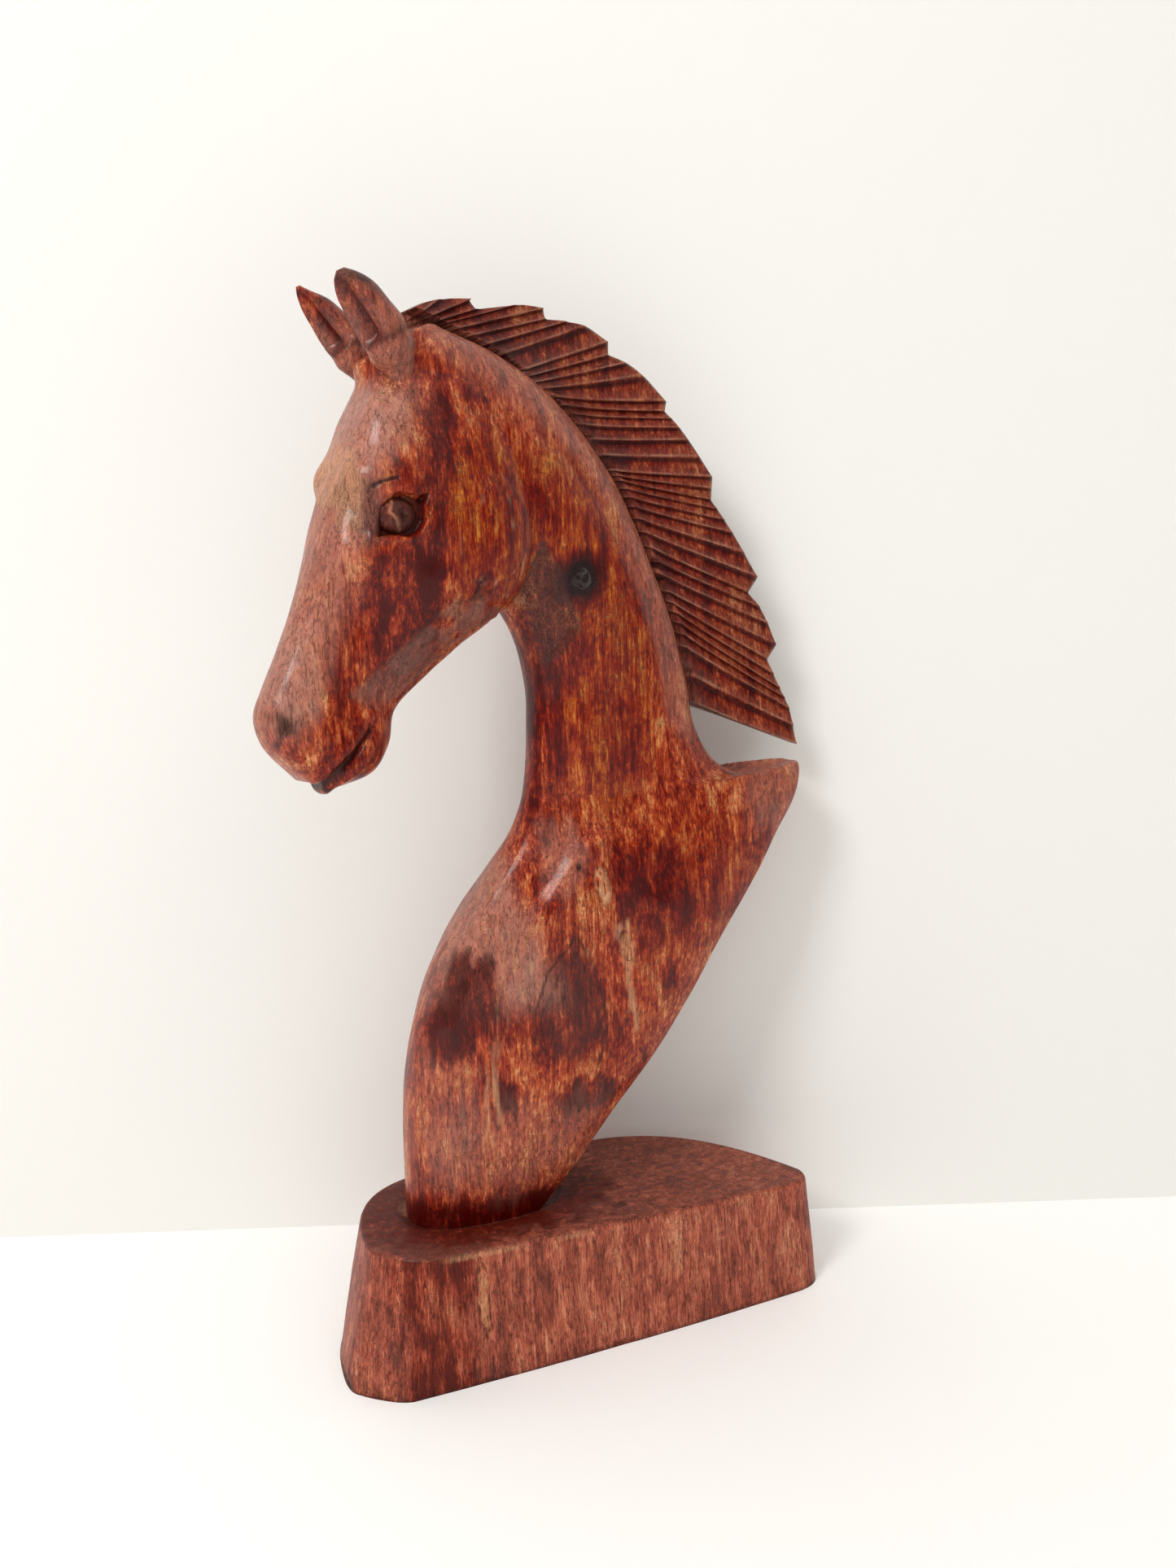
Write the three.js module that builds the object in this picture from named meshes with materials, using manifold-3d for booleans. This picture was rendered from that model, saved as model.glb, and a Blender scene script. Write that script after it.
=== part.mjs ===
// A carved wooden horse-head bust on a sawn half-round base. Millimetres, +Z up.
// The nose points to -X and the horse's left side is -Y. The origin is the middle of
// the bounding box, on the surface the base stands on.
import * as THREE from 'three';
import { mergeVertices } from 'three/addons/utils/BufferGeometryUtils.js';
import Module from 'manifold-3d';

const wasm = await Module();
wasm.setup();

// Driving dimensions.
const GAP = 0.3;                  // clearance between two pieces that touch
const NECK_ROWS = 56;             // sections up the neck
const HEAD_ROWS = 42;             // and up the head
const NECK_FULLNESS = 2.2;        // 2 is a plain ellipse, more is squarer
const HEAD_FULLNESS = 2.25;
const RING_STEPS = 32;            // points round a carved section
const BASE_FRONT_HEIGHT = 33.5;   // the base is thicker under the chest
const BASE_TOP_SLOPE = 0.033;     // fall of its top towards the rear, mm per mm
const BASE_FRONT_X = -66.3;
const BASE_REAR_X = 58.8;
const BASE_NEAR_Y = -26;
const BASE_FAR_Y = 25;
const BASE_TOP_SCALE = new THREE.Vector2(0.93, 0.925);   // top outline against bottom outline
const BASE_TAPER_CENTRE = new THREE.Vector2(30, -3);    // the sides lean towards this point
const BASE_EDGE = 1.2;            // worn chamfer round the top of the base
const TURN_ANGLE = THREE.MathUtils.degToRad(13);        // the head looks a little to its left
const TURN_AXIS_X = 15;
const TURN_FROM_X = [30, -15];    // the neck bends between these two lengths
const TURN_FROM_Z = [90, 145];    // and only above the chest
const HEAD_CUT = [[-19.5, 178.5], [-36, 240]];          // throat to poll, side view
const HEAD_CUT_BELOW = 0.5;       // how far under the throat the neck is trimmed
const CHIN_BELOW = 30;            // and the head, whose chin hangs lower
const CUT_BLOCK_SIZE = 120;       // larger than the head
const DOWEL_DIAMETER = 7;
const DOWEL_LENGTH = 26;
const DOWEL_X = [-37, -22];
const KNOT_DIAMETER = 6.5;
const KNOT_INNER_Y = -4.5;        // the knot tapers to this depth inside the neck

// ---- small geometry tools -------------------------------------------------------------

function baseTop(x) {
  return BASE_FRONT_HEIGHT - BASE_TOP_SLOPE * (x - BASE_FRONT_X);
}

function smooth(from, to, value) {
  const t = THREE.MathUtils.clamp((value - from) / (to - from), 0, 1);
  return t * t * (3 - 2 * t);
}

// Turns the head and upper neck about an upright axis.
function turnHead(geometry) {
  const position = geometry.attributes.position;
  for (let i = 0; i < position.count; i += 1) {
    const x = position.getX(i) - TURN_AXIS_X;
    const y = position.getY(i);
    const along = smooth(TURN_FROM_X[0], TURN_FROM_X[1], position.getX(i));
    const up = smooth(TURN_FROM_Z[0], TURN_FROM_Z[1], position.getZ(i));
    const angle = TURN_ANGLE * along * up;
    position.setX(i, TURN_AXIS_X + x * Math.cos(angle) - y * Math.sin(angle));
    position.setY(i, x * Math.sin(angle) + y * Math.cos(angle));
  }
  return geometry;
}

// Joins a list of equal rings into one closed skin with flat ends.
function skinRings(rings) {
  const steps = rings[0].length;
  const points = rings.flat();
  const faces = [];
  for (let i = 0; i < rings.length - 1; i += 1) {
    for (let j = 0; j < steps; j += 1) {
      const a = i * steps + j;
      const b = i * steps + (j + 1) % steps;
      faces.push([a, b, b + steps], [a, b + steps, a + steps]);
    }
  }
  for (const [start, order] of [[0, -1], [(rings.length - 1) * steps, 1]]) {
    const middle = new THREE.Vector3();
    for (let j = 0; j < steps; j += 1) {
      middle.addScaledVector(points[start + j], 1 / steps);
    }
    points.push(middle);
    for (let j = 0; j < steps; j += 1) {
      const pair = [start + j, start + (j + 1) % steps];
      const [first, second] = order > 0 ? pair : pair.reverse();
      faces.push([first, second, points.length - 1]);
    }
  }
  return solidFrom(points, faces);
}

function signedVolume(points, faces) {
  let volume = 0;
  for (const [a, b, c] of faces) {
    const normal = new THREE.Vector3().crossVectors(points[b], points[c]);
    volume += points[a].dot(normal) / 6;
  }
  return volume;
}

function solidFrom(points, faces) {
  if (signedVolume(points, faces) < 0) {
    faces.forEach((face) => face.reverse());
  }
  const vertProperties = new Float32Array(points.flatMap((p) => [p.x, p.y, p.z]));
  const triVerts = new Uint32Array(faces.flat());
  return new wasm.Manifold(new wasm.Mesh({ numProp: 3, vertProperties, triVerts }));
}

function solidFromGeometry(source) {
  const geometry = source.clone();
  geometry.deleteAttribute('normal');
  geometry.deleteAttribute('uv');
  const merged = mergeVertices(geometry, 1e-4);
  const vertProperties = new Float32Array(merged.attributes.position.array);
  const triVerts = new Uint32Array(merged.index.array);
  return new wasm.Manifold(new wasm.Mesh({ numProp: 3, vertProperties, triVerts }));
}

function geometryFrom(solid) {
  const mesh = solid.getMesh();
  const geometry = new THREE.BufferGeometry();
  geometry.setAttribute('position', new THREE.BufferAttribute(mesh.vertProperties.slice(), 3));
  geometry.setIndex(new THREE.BufferAttribute(mesh.triVerts.slice(), 1));
  return geometry;
}

// A carved body given by stations [front x, front z, back x, back z, half width]: each
// station is a rounded section standing on the line from its front to its back point.
function carvedBody(stations, rows, fullness, grow = 0) {
  const front = new THREE.CatmullRomCurve3(stations.map((s) => new THREE.Vector3(s[0], 0, s[1])));
  const back = new THREE.CatmullRomCurve3(stations.map((s) => new THREE.Vector3(s[2], s[4], s[3])));
  const rings = [];
  for (let i = 0; i <= rows; i += 1) {
    const a = front.getPoint(i / rows);
    const b = back.getPoint(i / rows);
    const halfWidth = b.y + grow;
    b.y = 0;
    rings.push(sectionRing(a, b, halfWidth, fullness, grow));
  }
  return skinRings(rings);
}

function sectionRing(front, back, halfWidth, fullness, grow) {
  const middle = new THREE.Vector3().addVectors(front, back).multiplyScalar(0.5);
  const arm = new THREE.Vector3().subVectors(front, back).multiplyScalar(0.5);
  arm.multiplyScalar(1 + grow / arm.length());
  const ring = [];
  for (let j = 0; j < RING_STEPS; j += 1) {
    const angle = 2 * Math.PI * j / RING_STEPS;
    const c = Math.cos(angle);
    const s = Math.sin(angle);
    const point = middle.clone().addScaledVector(arm, Math.sign(c) * Math.abs(c) ** (2 / fullness));
    point.y = halfWidth * Math.sign(s) * Math.abs(s) ** (2 / fullness);
    ring.push(point);
  }
  return ring;
}

function ellipsoid(centre, radii) {
  const geometry = new THREE.SphereGeometry(1, 16, 10);
  geometry.scale(...radii);
  geometry.translate(...centre);
  return solidFromGeometry(geometry);
}

function uprightCylinder(x, y, bottom, height, radius) {
  const geometry = new THREE.CylinderGeometry(radius, radius, height, 24);
  geometry.rotateX(Math.PI / 2);
  geometry.translate(x, y, bottom + height / 2);
  return solidFromGeometry(geometry);
}

// A block whose flat face stands on the line from throat to poll, on the chest side (+1)
// or the face side (-1) of it, reaching from `below` under the throat to above the poll.
function cutBlock(side, below) {
  const [low, high] = HEAD_CUT;
  const size = CUT_BLOCK_SIZE;
  const angle = Math.atan2(high[0] - low[0], high[1] - low[1]);
  const geometry = new THREE.BoxGeometry(size, size, size);
  geometry.translate(side * (size / 2 - GAP / 2), 0, size / 2 - below);
  geometry.rotateY(angle);
  geometry.translate(low[0], 0, low[1]);
  return solidFromGeometry(geometry);
}

// ---- base -----------------------------------------------------------------------------

// Bottom outline of the half-round slab: a nearly straight sawn side at -Y, a blunt front
// end with one corner, and a long arc on the far side that meets the sawn side at the rear.
function baseOutline() {
  const outline = new THREE.Shape();
  outline.moveTo(BASE_FRONT_X + 13, BASE_NEAR_Y + 1);
  outline.quadraticCurveTo(0, BASE_NEAR_Y - 1, BASE_REAR_X - 9, BASE_NEAR_Y + 1.5);
  outline.quadraticCurveTo(BASE_REAR_X, BASE_NEAR_Y + 2, BASE_REAR_X - 0.5, BASE_NEAR_Y + 9);
  outline.bezierCurveTo(48, 8, 34, BASE_FAR_Y, 8, BASE_FAR_Y);
  outline.lineTo(-40, BASE_FAR_Y - 1.5);
  outline.bezierCurveTo(-58, BASE_FAR_Y - 3, BASE_FRONT_X, 10, BASE_FRONT_X, -10);
  outline.quadraticCurveTo(BASE_FRONT_X, -15.5, BASE_FRONT_X + 2.5, -17.5);
  outline.quadraticCurveTo(BASE_FRONT_X + 8, BASE_NEAR_Y + 2.5, BASE_FRONT_X + 13, BASE_NEAR_Y + 1);
  return outline.getSpacedPoints(72).slice(0, -1);
}

function baseRing(scaleX, scaleY, inset, height) {
  const centre = BASE_TAPER_CENTRE;
  return baseOutline().map((p) => {
    const x = centre.x + (p.x - centre.x) * scaleX;
    const y = centre.y + (p.y - centre.y) * scaleY;
    const reach = Math.hypot(x, y);
    const pull = 1 - inset / reach;
    return new THREE.Vector3(x * pull, y * pull, height(x * pull));
  });
}

function makeBase() {
  const { x, y } = BASE_TOP_SCALE;
  return skinRings([
    baseRing(1, 1, 0, () => 0),
    baseRing(x, y, 0, (px) => baseTop(px) - BASE_EDGE),
    baseRing(x, y, BASE_EDGE, baseTop),
  ]);
}

// ---- neck, chest and foot -------------------------------------------------------------

const FOOT_FRONT_X = -46.8;
const FOOT_REAR_X = -8;
// The rear points lie outside the slanting saw cut, which trims the back flat.
const NECK_STATIONS = [
  [FOOT_FRONT_X, baseTop(FOOT_FRONT_X) + GAP, FOOT_REAR_X, baseTop(FOOT_REAR_X) + GAP, 11.3],
  [-46.7, 41, 1, 41, 12.8],
  [-46.3, 51, 9.6, 51.4, 14.3],
  [-45.3, 66, 21.2, 63.5, 15.7],
  [-42.5, 80, 34, 80, 16.8],
  [-37.6, 93, 43.2, 94, 17.4],
  [-30, 106.5, 52.5, 107, 17.2],
  [-22.8, 117.5, 60, 119.5, 15.5],
  [-17.2, 126, 68.5, 131, 13.5],
  [-14.8, 132, 66.3, 137.3, 12.3],
  [-13.6, 137, 51, 134.6, 12],
  [-12.6, 143.5, 39, 139.2, 11.8],
  [-12.2, 151, 34.4, 149.5, 11.5],
  [-11.9, 159.4, 32.4, 161, 11.5],
  [-14.1, 171, 28, 177, 12],
  [-19, 180, 21.4, 194, 12.6],
  [-30, 188, 13.4, 210.5, 13],
  [-42, 205, 0.5, 224.5, 13],
  [-50, 222, -18, 235.5, 11.5],
  [-52, 232, -35, 241.5, 8],
];
// Side view of the saw cut down the back, from the withers to the foot.
const BACK_CUT = [
  [64.4, 139], [61, 130.4], [51.5, 116], [38.1, 98.3], [29, 84.3],
  [16.3, 66.8], [5.2, 54.7], [-1.6, 46.3], [-16, 30],
];

function backCutTool() {
  const outline = new THREE.Shape();
  outline.moveTo(...BACK_CUT[0]);
  outline.splineThru(BACK_CUT.slice(1).map(([x, z]) => new THREE.Vector2(x, z)));
  outline.lineTo(90, 10);
  outline.lineTo(90, BACK_CUT[0][1]);
  const geometry = new THREE.ExtrudeGeometry(outline, { depth: 80, bevelEnabled: false, curveSegments: 3 });
  geometry.rotateX(Math.PI / 2);
  geometry.translate(0, 40, 0);
  return solidFromGeometry(geometry);
}

function makeNeck(grow = 0) {
  return carvedBody(NECK_STATIONS, NECK_ROWS, NECK_FULLNESS, grow).subtract(backCutTool());
}

// ---- head -----------------------------------------------------------------------------

const HEAD_STATIONS = [
  [-72.3, 146.6, -66.5, 142.2, 4.5],
  [-77.6, 153, -60.8, 143.2, 8.2],
  [-79.2, 159.3, -54.6, 145.3, 9.4],
  [-77, 165, -50.3, 151, 9.2],
  [-73.9, 171, -48.6, 158, 9],
  [-70.4, 179, -41.3, 164.8, 10],
  [-67.6, 186, -33, 171, 12],
  [-64.7, 194, -25, 176.5, 15],
  [-61.6, 203.5, -16, 184, 16.3],
  [-58.2, 212.5, -12, 198, 16],
  [-54.8, 220, -12, 212, 14.6],
  [-51, 228.5, -16, 225, 12.5],
  [-47.5, 235, -24, 235.5, 10],
  [-44, 238.5, -32, 240, 6],
];
const EYE_CENTRE = [-51.5, 12.4, 199.3];
const EYE_RADII = [5, 3.4, 3.9];

function makeHead(grow = 0) {
  return carvedBody(HEAD_STATIONS, HEAD_ROWS, HEAD_FULLNESS, grow);
}

function makeEye(side, grow = 0) {
  const [x, y, z] = EYE_CENTRE;
  return ellipsoid([x, side * y, z], EYE_RADII.map((radius) => radius + grow));
}

// ---- ears -----------------------------------------------------------------------------

// Stations up an ear: [x, y, z, half length, half width].
const EAR_STATIONS = [
  [-43.5, 8, 224, 3.6, 2.8],
  [-45.6, 8.4, 230, 4.8, 3.4],
  [-47.6, 8.9, 234.2, 5.6, 4],
  [-50.2, 9.5, 238, 5.3, 3.8],
  [-53, 10, 241.5, 4.9, 3.5],
  [-56, 10.5, 244.9, 4, 2.9],
  [-58.4, 10.9, 247.5, 2.3, 1.8],
  [-59.3, 11, 248.7, 0.9, 0.9],
];
const EAR_RISE = 1;               // the right ear stands this much higher, the left lower
const EAR_STEPS = 16;
const EAR_LEAN = THREE.MathUtils.degToRad(28);    // the ear's axis leans forward

function earSkin(side, widthScale, shift) {
  const across = new THREE.Vector3(Math.cos(EAR_LEAN), 0, Math.sin(EAR_LEAN));
  const path = new THREE.CatmullRomCurve3(EAR_STATIONS.map((s) => new THREE.Vector3(s[0], s[1], s[2])));
  const size = new THREE.CatmullRomCurve3(EAR_STATIONS.map((s) => new THREE.Vector3(s[3], s[4], 0)));
  const rings = [];
  const rows = 12;
  for (let i = 0; i <= rows; i += 1) {
    const centre = path.getPoint(i / rows).add(shift);
    const half = size.getPoint(i / rows).multiplyScalar(widthScale);
    const ring = [];
    for (let j = 0; j < EAR_STEPS; j += 1) {
      const angle = 2 * Math.PI * j / EAR_STEPS;
      const point = centre.clone().addScaledVector(across, half.x * Math.cos(angle));
      point.y += half.y * Math.sin(angle);
      point.y *= side;
      point.z += side * EAR_RISE;
      ring.push(point);
    }
    rings.push(ring);
  }
  return skinRings(rings);
}

// The hollow of the ear faces forward and outward.
function makeEar(side) {
  const hollow = earSkin(side, 0.62, new THREE.Vector3(-3.4, 2.1, 1.5));
  return earSkin(side, 1, new THREE.Vector3()).subtract(hollow).subtract(makeHead(GAP));
}

// ---- mane -----------------------------------------------------------------------------

// The comb's saw-tooth rim, from the poll round to the point above the withers:
// each tooth runs from its notch to its tip.
const MANE_TEETH = [
  [[-41.5, 242.6], [-36, 245.5], [-29.7, 247.2], [-24.4, 247.8]],
  [[-23.5, 245.7], [-15.6, 247.3], [-10, 248.4], [-4.3, 248.4]],
  [[-4, 246.1], [2.2, 246.3], [7.6, 245.8], [13.8, 242.7]],
  [[13.7, 239.7], [18.5, 238.1], [22.8, 235.4], [29, 229.5]],
  [[28.5, 227.1], [31.8, 224.1], [35.8, 219.3], [41.5, 211.4]],
  [[41, 205.8], [44.1, 201.8], [48, 196.3], [54.3, 186.3]],
  [[51.4, 182.4], [54.9, 178.5], [57.3, 174.2], [59.7, 168.6]],
  [[56.9, 164.9], [60.8, 157], [63.5, 151.5], [65.6, 141.7]],
];
const MANE_ROOT = [
  [-36, 236], [-19, 231.5], [1, 219], [13, 205.5], [20.5, 187], [26.5, 171], [31, 157], [34, 152.6],
];
const MANE_ROOT_HALF = 4.2;       // half thickness where the comb meets the crest
const MANE_RIM_HALF = 1.7;        // and at the rim of the teeth

function maneSection(rim, root, rows) {
  const ring = [];
  for (const side of [1, -1]) {
    for (let j = 0; j <= rows; j += 1) {
      const t = side > 0 ? j / rows : 1 - j / rows;
      const point = new THREE.Vector3().lerpVectors(rim, root, t);
      point.y = side * THREE.MathUtils.lerp(MANE_RIM_HALF, MANE_ROOT_HALF, t);
      ring.push(point);
    }
  }
  return ring;
}

function makeMane() {
  const rimPoints = MANE_TEETH.flat();
  const root = new THREE.CatmullRomCurve3(MANE_ROOT.map(([x, z]) => new THREE.Vector3(x, 0, z)));
  const rings = rimPoints.map(([x, z], i) => {
    const rim = new THREE.Vector3(x, 0, z);
    return maneSection(rim, root.getPoint(i / (rimPoints.length - 1)), 4);
  });
  return skinRings(rings).subtract(makeNeck(GAP)).subtract(makeHead(GAP));
}

// ---- knot and putty -------------------------------------------------------------------

const KNOT_CENTRE = [-3.4, 186.1];
// Putty fills on the left side: [x, z, half length, half height, lean in degrees].
const SHOULDER_FILL = [0.8, 113, 2.6, 5.6, 12];
const FLANK_FILL = [7, 97.6, 2.2, 4.6, 12];
const BASE_FILL = [-35.2, 21, 1.9, 10.5, 2];
// How deep their inner faces lie.
const SHOULDER_INNER_Y = -13;
const FLANK_INNER_Y = -13.2;
const BASE_INNER_Y = -20.5;
const TOOL_LENGTH = 40;           // the cutting bodies stick out of the wood on the left

function knotTool(grow = 0) {
  const radius = KNOT_DIAMETER / 2 + grow;
  const geometry = new THREE.CylinderGeometry(radius * 0.8, radius * 1.1, TOOL_LENGTH, 24);
  geometry.translate(KNOT_CENTRE[0], KNOT_INNER_Y + grow - TOOL_LENGTH / 2, KNOT_CENTRE[1]);
  return solidFromGeometry(geometry);
}

// A shallow oval plug driven in from the left side as far as the given inner face.
function fillTool([x, z, halfLength, halfHeight, lean], innerY, grow = 0) {
  const geometry = new THREE.CylinderGeometry(1, 1, TOOL_LENGTH, 28);
  geometry.scale(halfLength + grow, 1, halfHeight + grow);
  geometry.rotateY(THREE.MathUtils.degToRad(-lean));
  geometry.translate(x, innerY - TOOL_LENGTH / 2 + grow, z);
  return solidFromGeometry(geometry);
}

// ---- assembly -------------------------------------------------------------------------

const neckBody = makeNeck().subtract(cutBlock(-1, HEAD_CUT_BELOW));
const headBody = makeHead().subtract(cutBlock(1, CHIN_BELOW));
const baseBody = makeBase();

function dowel(index, grow = 0) {
  const x = DOWEL_X[index];
  const bottom = baseTop(x) - DOWEL_LENGTH / 2 - grow;
  return uprightCylinder(x, 0, bottom, DOWEL_LENGTH + 2 * grow, DOWEL_DIAMETER / 2 + grow);
}

const STAIN = { bust: 0x7a2f1c, head: 0x8a3a20, mane: 0x6b2a1b, base: 0x7d3524 };
const EYE_BROWN = 0x3a1c16;
const BARE_BIRCH = 0xc9a06c;
const KNOT_BROWN = 0x2a120f;
const oiledWood = (color) => new THREE.MeshStandardMaterial({ color, roughness: 0.4, metalness: 0 });
const putty = () => new THREE.MeshStandardMaterial({ color: 0xb0764a, roughness: 0.6, metalness: 0 });

const neckChest = neckBody
  .subtract(knotTool(GAP))
  .subtract(fillTool(SHOULDER_FILL, SHOULDER_INNER_Y, GAP))
  .subtract(fillTool(FLANK_FILL, FLANK_INNER_Y, GAP))
  .subtract(dowel(0, GAP))
  .subtract(dowel(1, GAP));
const baseBlock = baseBody
  .subtract(fillTool(BASE_FILL, BASE_INNER_Y, GAP))
  .subtract(dowel(0, GAP))
  .subtract(dowel(1, GAP));
const head = headBody.subtract(makeEye(1, GAP)).subtract(makeEye(-1, GAP));

const pieces = [
  ['base_block', baseBlock, oiledWood(STAIN.base)],
  ['neck_chest', neckChest, oiledWood(STAIN.bust)],
  ['head', head, oiledWood(STAIN.head)],
  ['mane_comb', makeMane(), oiledWood(STAIN.mane)],
  ['ear_left', makeEar(-1), oiledWood(STAIN.head)],
  ['ear_right', makeEar(1), oiledWood(STAIN.head)],
  ['eye_left', makeEye(-1), oiledWood(EYE_BROWN)],
  ['eye_right', makeEye(1), oiledWood(EYE_BROWN)],
  ['dowel_front', dowel(0), oiledWood(BARE_BIRCH)],
  ['dowel_rear', dowel(1), oiledWood(BARE_BIRCH)],
  ['neck_knot', neckBody.intersect(knotTool()), oiledWood(KNOT_BROWN)],
  ['shoulder_filler', neckBody.intersect(fillTool(SHOULDER_FILL, SHOULDER_INNER_Y)), putty()],
  ['flank_filler', neckBody.intersect(fillTool(FLANK_FILL, FLANK_INNER_Y)), putty()],
  ['base_filler', baseBody.intersect(fillTool(BASE_FILL, BASE_INNER_Y)), putty()],
];

const figurine = new THREE.Group();
for (const [name, solid, material] of pieces) {
  const mesh = new THREE.Mesh(turnHead(geometryFrom(solid)), material);
  mesh.name = name;
  figurine.add(mesh);
}
const box = new THREE.Box3().setFromObject(figurine);
const middle = box.getCenter(new THREE.Vector3());
figurine.position.set(-middle.x, -middle.y, -box.min.z);

export default figurine;
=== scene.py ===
# A horse-head bust carved from stained and varnished hardwood, on a sawn half-round base.
import itertools
import math

import bmesh
import bpy
import numpy as np
from mathutils import Matrix, Vector
from mathutils.bvhtree import BVHTree


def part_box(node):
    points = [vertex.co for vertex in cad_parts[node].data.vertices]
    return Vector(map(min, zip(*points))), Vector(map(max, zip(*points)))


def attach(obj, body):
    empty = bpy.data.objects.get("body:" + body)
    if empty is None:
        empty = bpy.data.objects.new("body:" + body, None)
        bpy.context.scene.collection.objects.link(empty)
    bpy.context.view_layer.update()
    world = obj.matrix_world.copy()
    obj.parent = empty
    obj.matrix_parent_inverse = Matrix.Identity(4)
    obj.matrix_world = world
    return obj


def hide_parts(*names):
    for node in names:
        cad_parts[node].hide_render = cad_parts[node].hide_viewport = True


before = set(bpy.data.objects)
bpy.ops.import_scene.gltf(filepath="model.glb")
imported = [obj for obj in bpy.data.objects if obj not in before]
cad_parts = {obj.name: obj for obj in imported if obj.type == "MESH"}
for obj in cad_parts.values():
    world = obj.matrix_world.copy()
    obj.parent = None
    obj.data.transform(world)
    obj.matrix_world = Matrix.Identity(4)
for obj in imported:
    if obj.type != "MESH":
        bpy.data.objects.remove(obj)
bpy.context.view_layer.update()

# ---- where it is looked at from -------------------------------------------------------------
# The bust is worked out in the carver's frame: millimetres, nose to -X, left side to -Y, the
# front dowel at DOWEL_FRONT_X. The camera stands off the left shoulder at half the height.
MM = 0.001
DOWEL_FRONT_X = -37.0
CAMERA_PLACE = (-104.8, -272.7, 177.0)
CAMERA_YAW = math.radians(22)
CAMERA_PITCH = math.radians(8)
CAMERA_ROLL = math.radians(2)
CAMERA_LENS = 27.09

dowel_low, dowel_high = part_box("dowel_front")
dowel_middle = (dowel_low + dowel_high) / 2
carver_origin = np.array([dowel_middle.x / MM - DOWEL_FRONT_X, dowel_middle.y / MM, 0.0])


def place(points):
    """Carver's millimetres to metres in the frame of the finished figurine."""
    return (np.asarray(points, float) + carver_origin) * MM


def make_camera():
    forward = Vector((math.sin(CAMERA_YAW) * math.cos(CAMERA_PITCH),
                      math.cos(CAMERA_YAW) * math.cos(CAMERA_PITCH),
                      -math.sin(CAMERA_PITCH)))
    level_right = Vector((math.cos(CAMERA_YAW), -math.sin(CAMERA_YAW), 0))
    level_up = level_right.cross(forward)
    right = math.cos(CAMERA_ROLL) * level_right - math.sin(CAMERA_ROLL) * level_up
    up = math.sin(CAMERA_ROLL) * level_right + math.cos(CAMERA_ROLL) * level_up
    data = bpy.data.cameras.new("camera")
    data.lens = CAMERA_LENS
    data.sensor_width = 36
    data.clip_start = 0.01
    camera = bpy.data.objects.new("camera", data)
    bpy.context.scene.collection.objects.link(camera)
    turn = Matrix((right, up, -forward)).transposed().to_4x4()
    camera.matrix_world = Matrix.Translation(Vector(place(CAMERA_PLACE))) @ turn
    return camera


bpy.context.scene.camera = make_camera()

# ---- the base -------------------------------------------------------------------------------
# A half-round slab of the same hardwood, sawn, roughly sanded, stained and varnished thinly.
# Its top falls a little to the rear, its edges are worn and its foot edge is chipped.
BASE_FRONT_HEIGHT = 33.5
BASE_TOP_SLOPE = 0.033
BASE_FRONT_X = -66.3
BASE_REAR_X = 58.8
BASE_TOP_SCALE = np.array([0.93, 0.925])
BASE_TAPER_CENTRE = np.array([30.0, -3.0])
BASE_EDGE = 1.5
BASE_STEPS = 560
BASE_UNDERSIDE_RINGS = 12
BASE_SIDE_RINGS = 44
BASE_TOP_RINGS = 50
FOOT_CENTRE = np.array([-28.3, 0])
FOOT_HALF = np.array([18.6, 11.4])


def smooth_step(low, high, value):
    t = np.clip((np.asarray(value, float) - low) / (high - low), 0, 1)
    return t * t * (3 - 2 * t)


def band(value, low, high, soft):
    return smooth_step(low - soft, low + soft, value) * smooth_step(high + soft, high - soft, value)


def lumps(points, size, seed=0):
    """Smooth noise from -1 to 1 whose lumps are `size` mm long on each axis."""
    cell = np.asarray(points, float) / np.asarray(size, float) + 37.7 * (seed + 1)
    corner = np.floor(cell).astype(np.int64)
    part = cell - corner
    part = part * part * (3 - 2 * part)
    total = np.zeros(len(cell))
    for step in itertools.product((0, 1), repeat=3):
        key = (corner + step) * np.array([73856093, 19349663, 83492791])
        mixed = (key[:, 0] ^ key[:, 1] ^ key[:, 2]) & 0xFFFFFF
        mixed = (mixed * 1103515245 + 12345 + seed * 7919) & 0x7FFFFFFF
        mixed = (mixed ^ (mixed >> 13)) * 48271 & 0x7FFFFFFF
        weight = np.prod(np.where(step, part, 1 - part), axis=1)
        total += weight * (mixed / 0x3FFFFFFF - 1)
    return total


def bezier(points, count):
    """Evenly stepped points on a Bezier curve of any order, without its last one."""
    t = (np.arange(count) / count)[:, None]
    level = [np.array(p, float)[None] for p in points]
    while len(level) > 1:
        level = [a * (1 - t) + b * t for a, b in zip(level, level[1:])]
    return level[0]


def even_loop(points, count):
    """The closed outline again, with its points at even distances."""
    loop = np.vstack([points, points[:1]])
    along = np.concatenate([[0], np.cumsum(np.linalg.norm(np.diff(loop, axis=0), axis=1))])
    at = np.arange(count) / count * along[-1]
    return np.stack([np.interp(at, along, loop[:, k]) for k in range(2)], axis=1)


def base_top(x):
    return BASE_FRONT_HEIGHT - BASE_TOP_SLOPE * (x - BASE_FRONT_X)


def base_outline():
    front, rear = BASE_FRONT_X, BASE_REAR_X
    start = (front + 13, -25)
    return even_loop(np.vstack([
        bezier([start, (0, -27), (rear - 9, -24.5)], 90),
        bezier([(rear - 9, -24.5), (rear, -24), (rear - 0.5, -17)], 24),
        bezier([(rear - 0.5, -17), (48, 8), (34, 25), (8, 25)], 70),
        bezier([(8, 25), (-40, 23.5)], 40),
        bezier([(-40, 23.5), (-58, 22), (front, 10), (front, -10)], 60),
        bezier([(front, -10), (front, -15.5), (front + 2.5, -17.5)], 14),
        bezier([(front + 2.5, -17.5), (front + 8, -23.5), start], 20),
    ]), BASE_STEPS)


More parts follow.
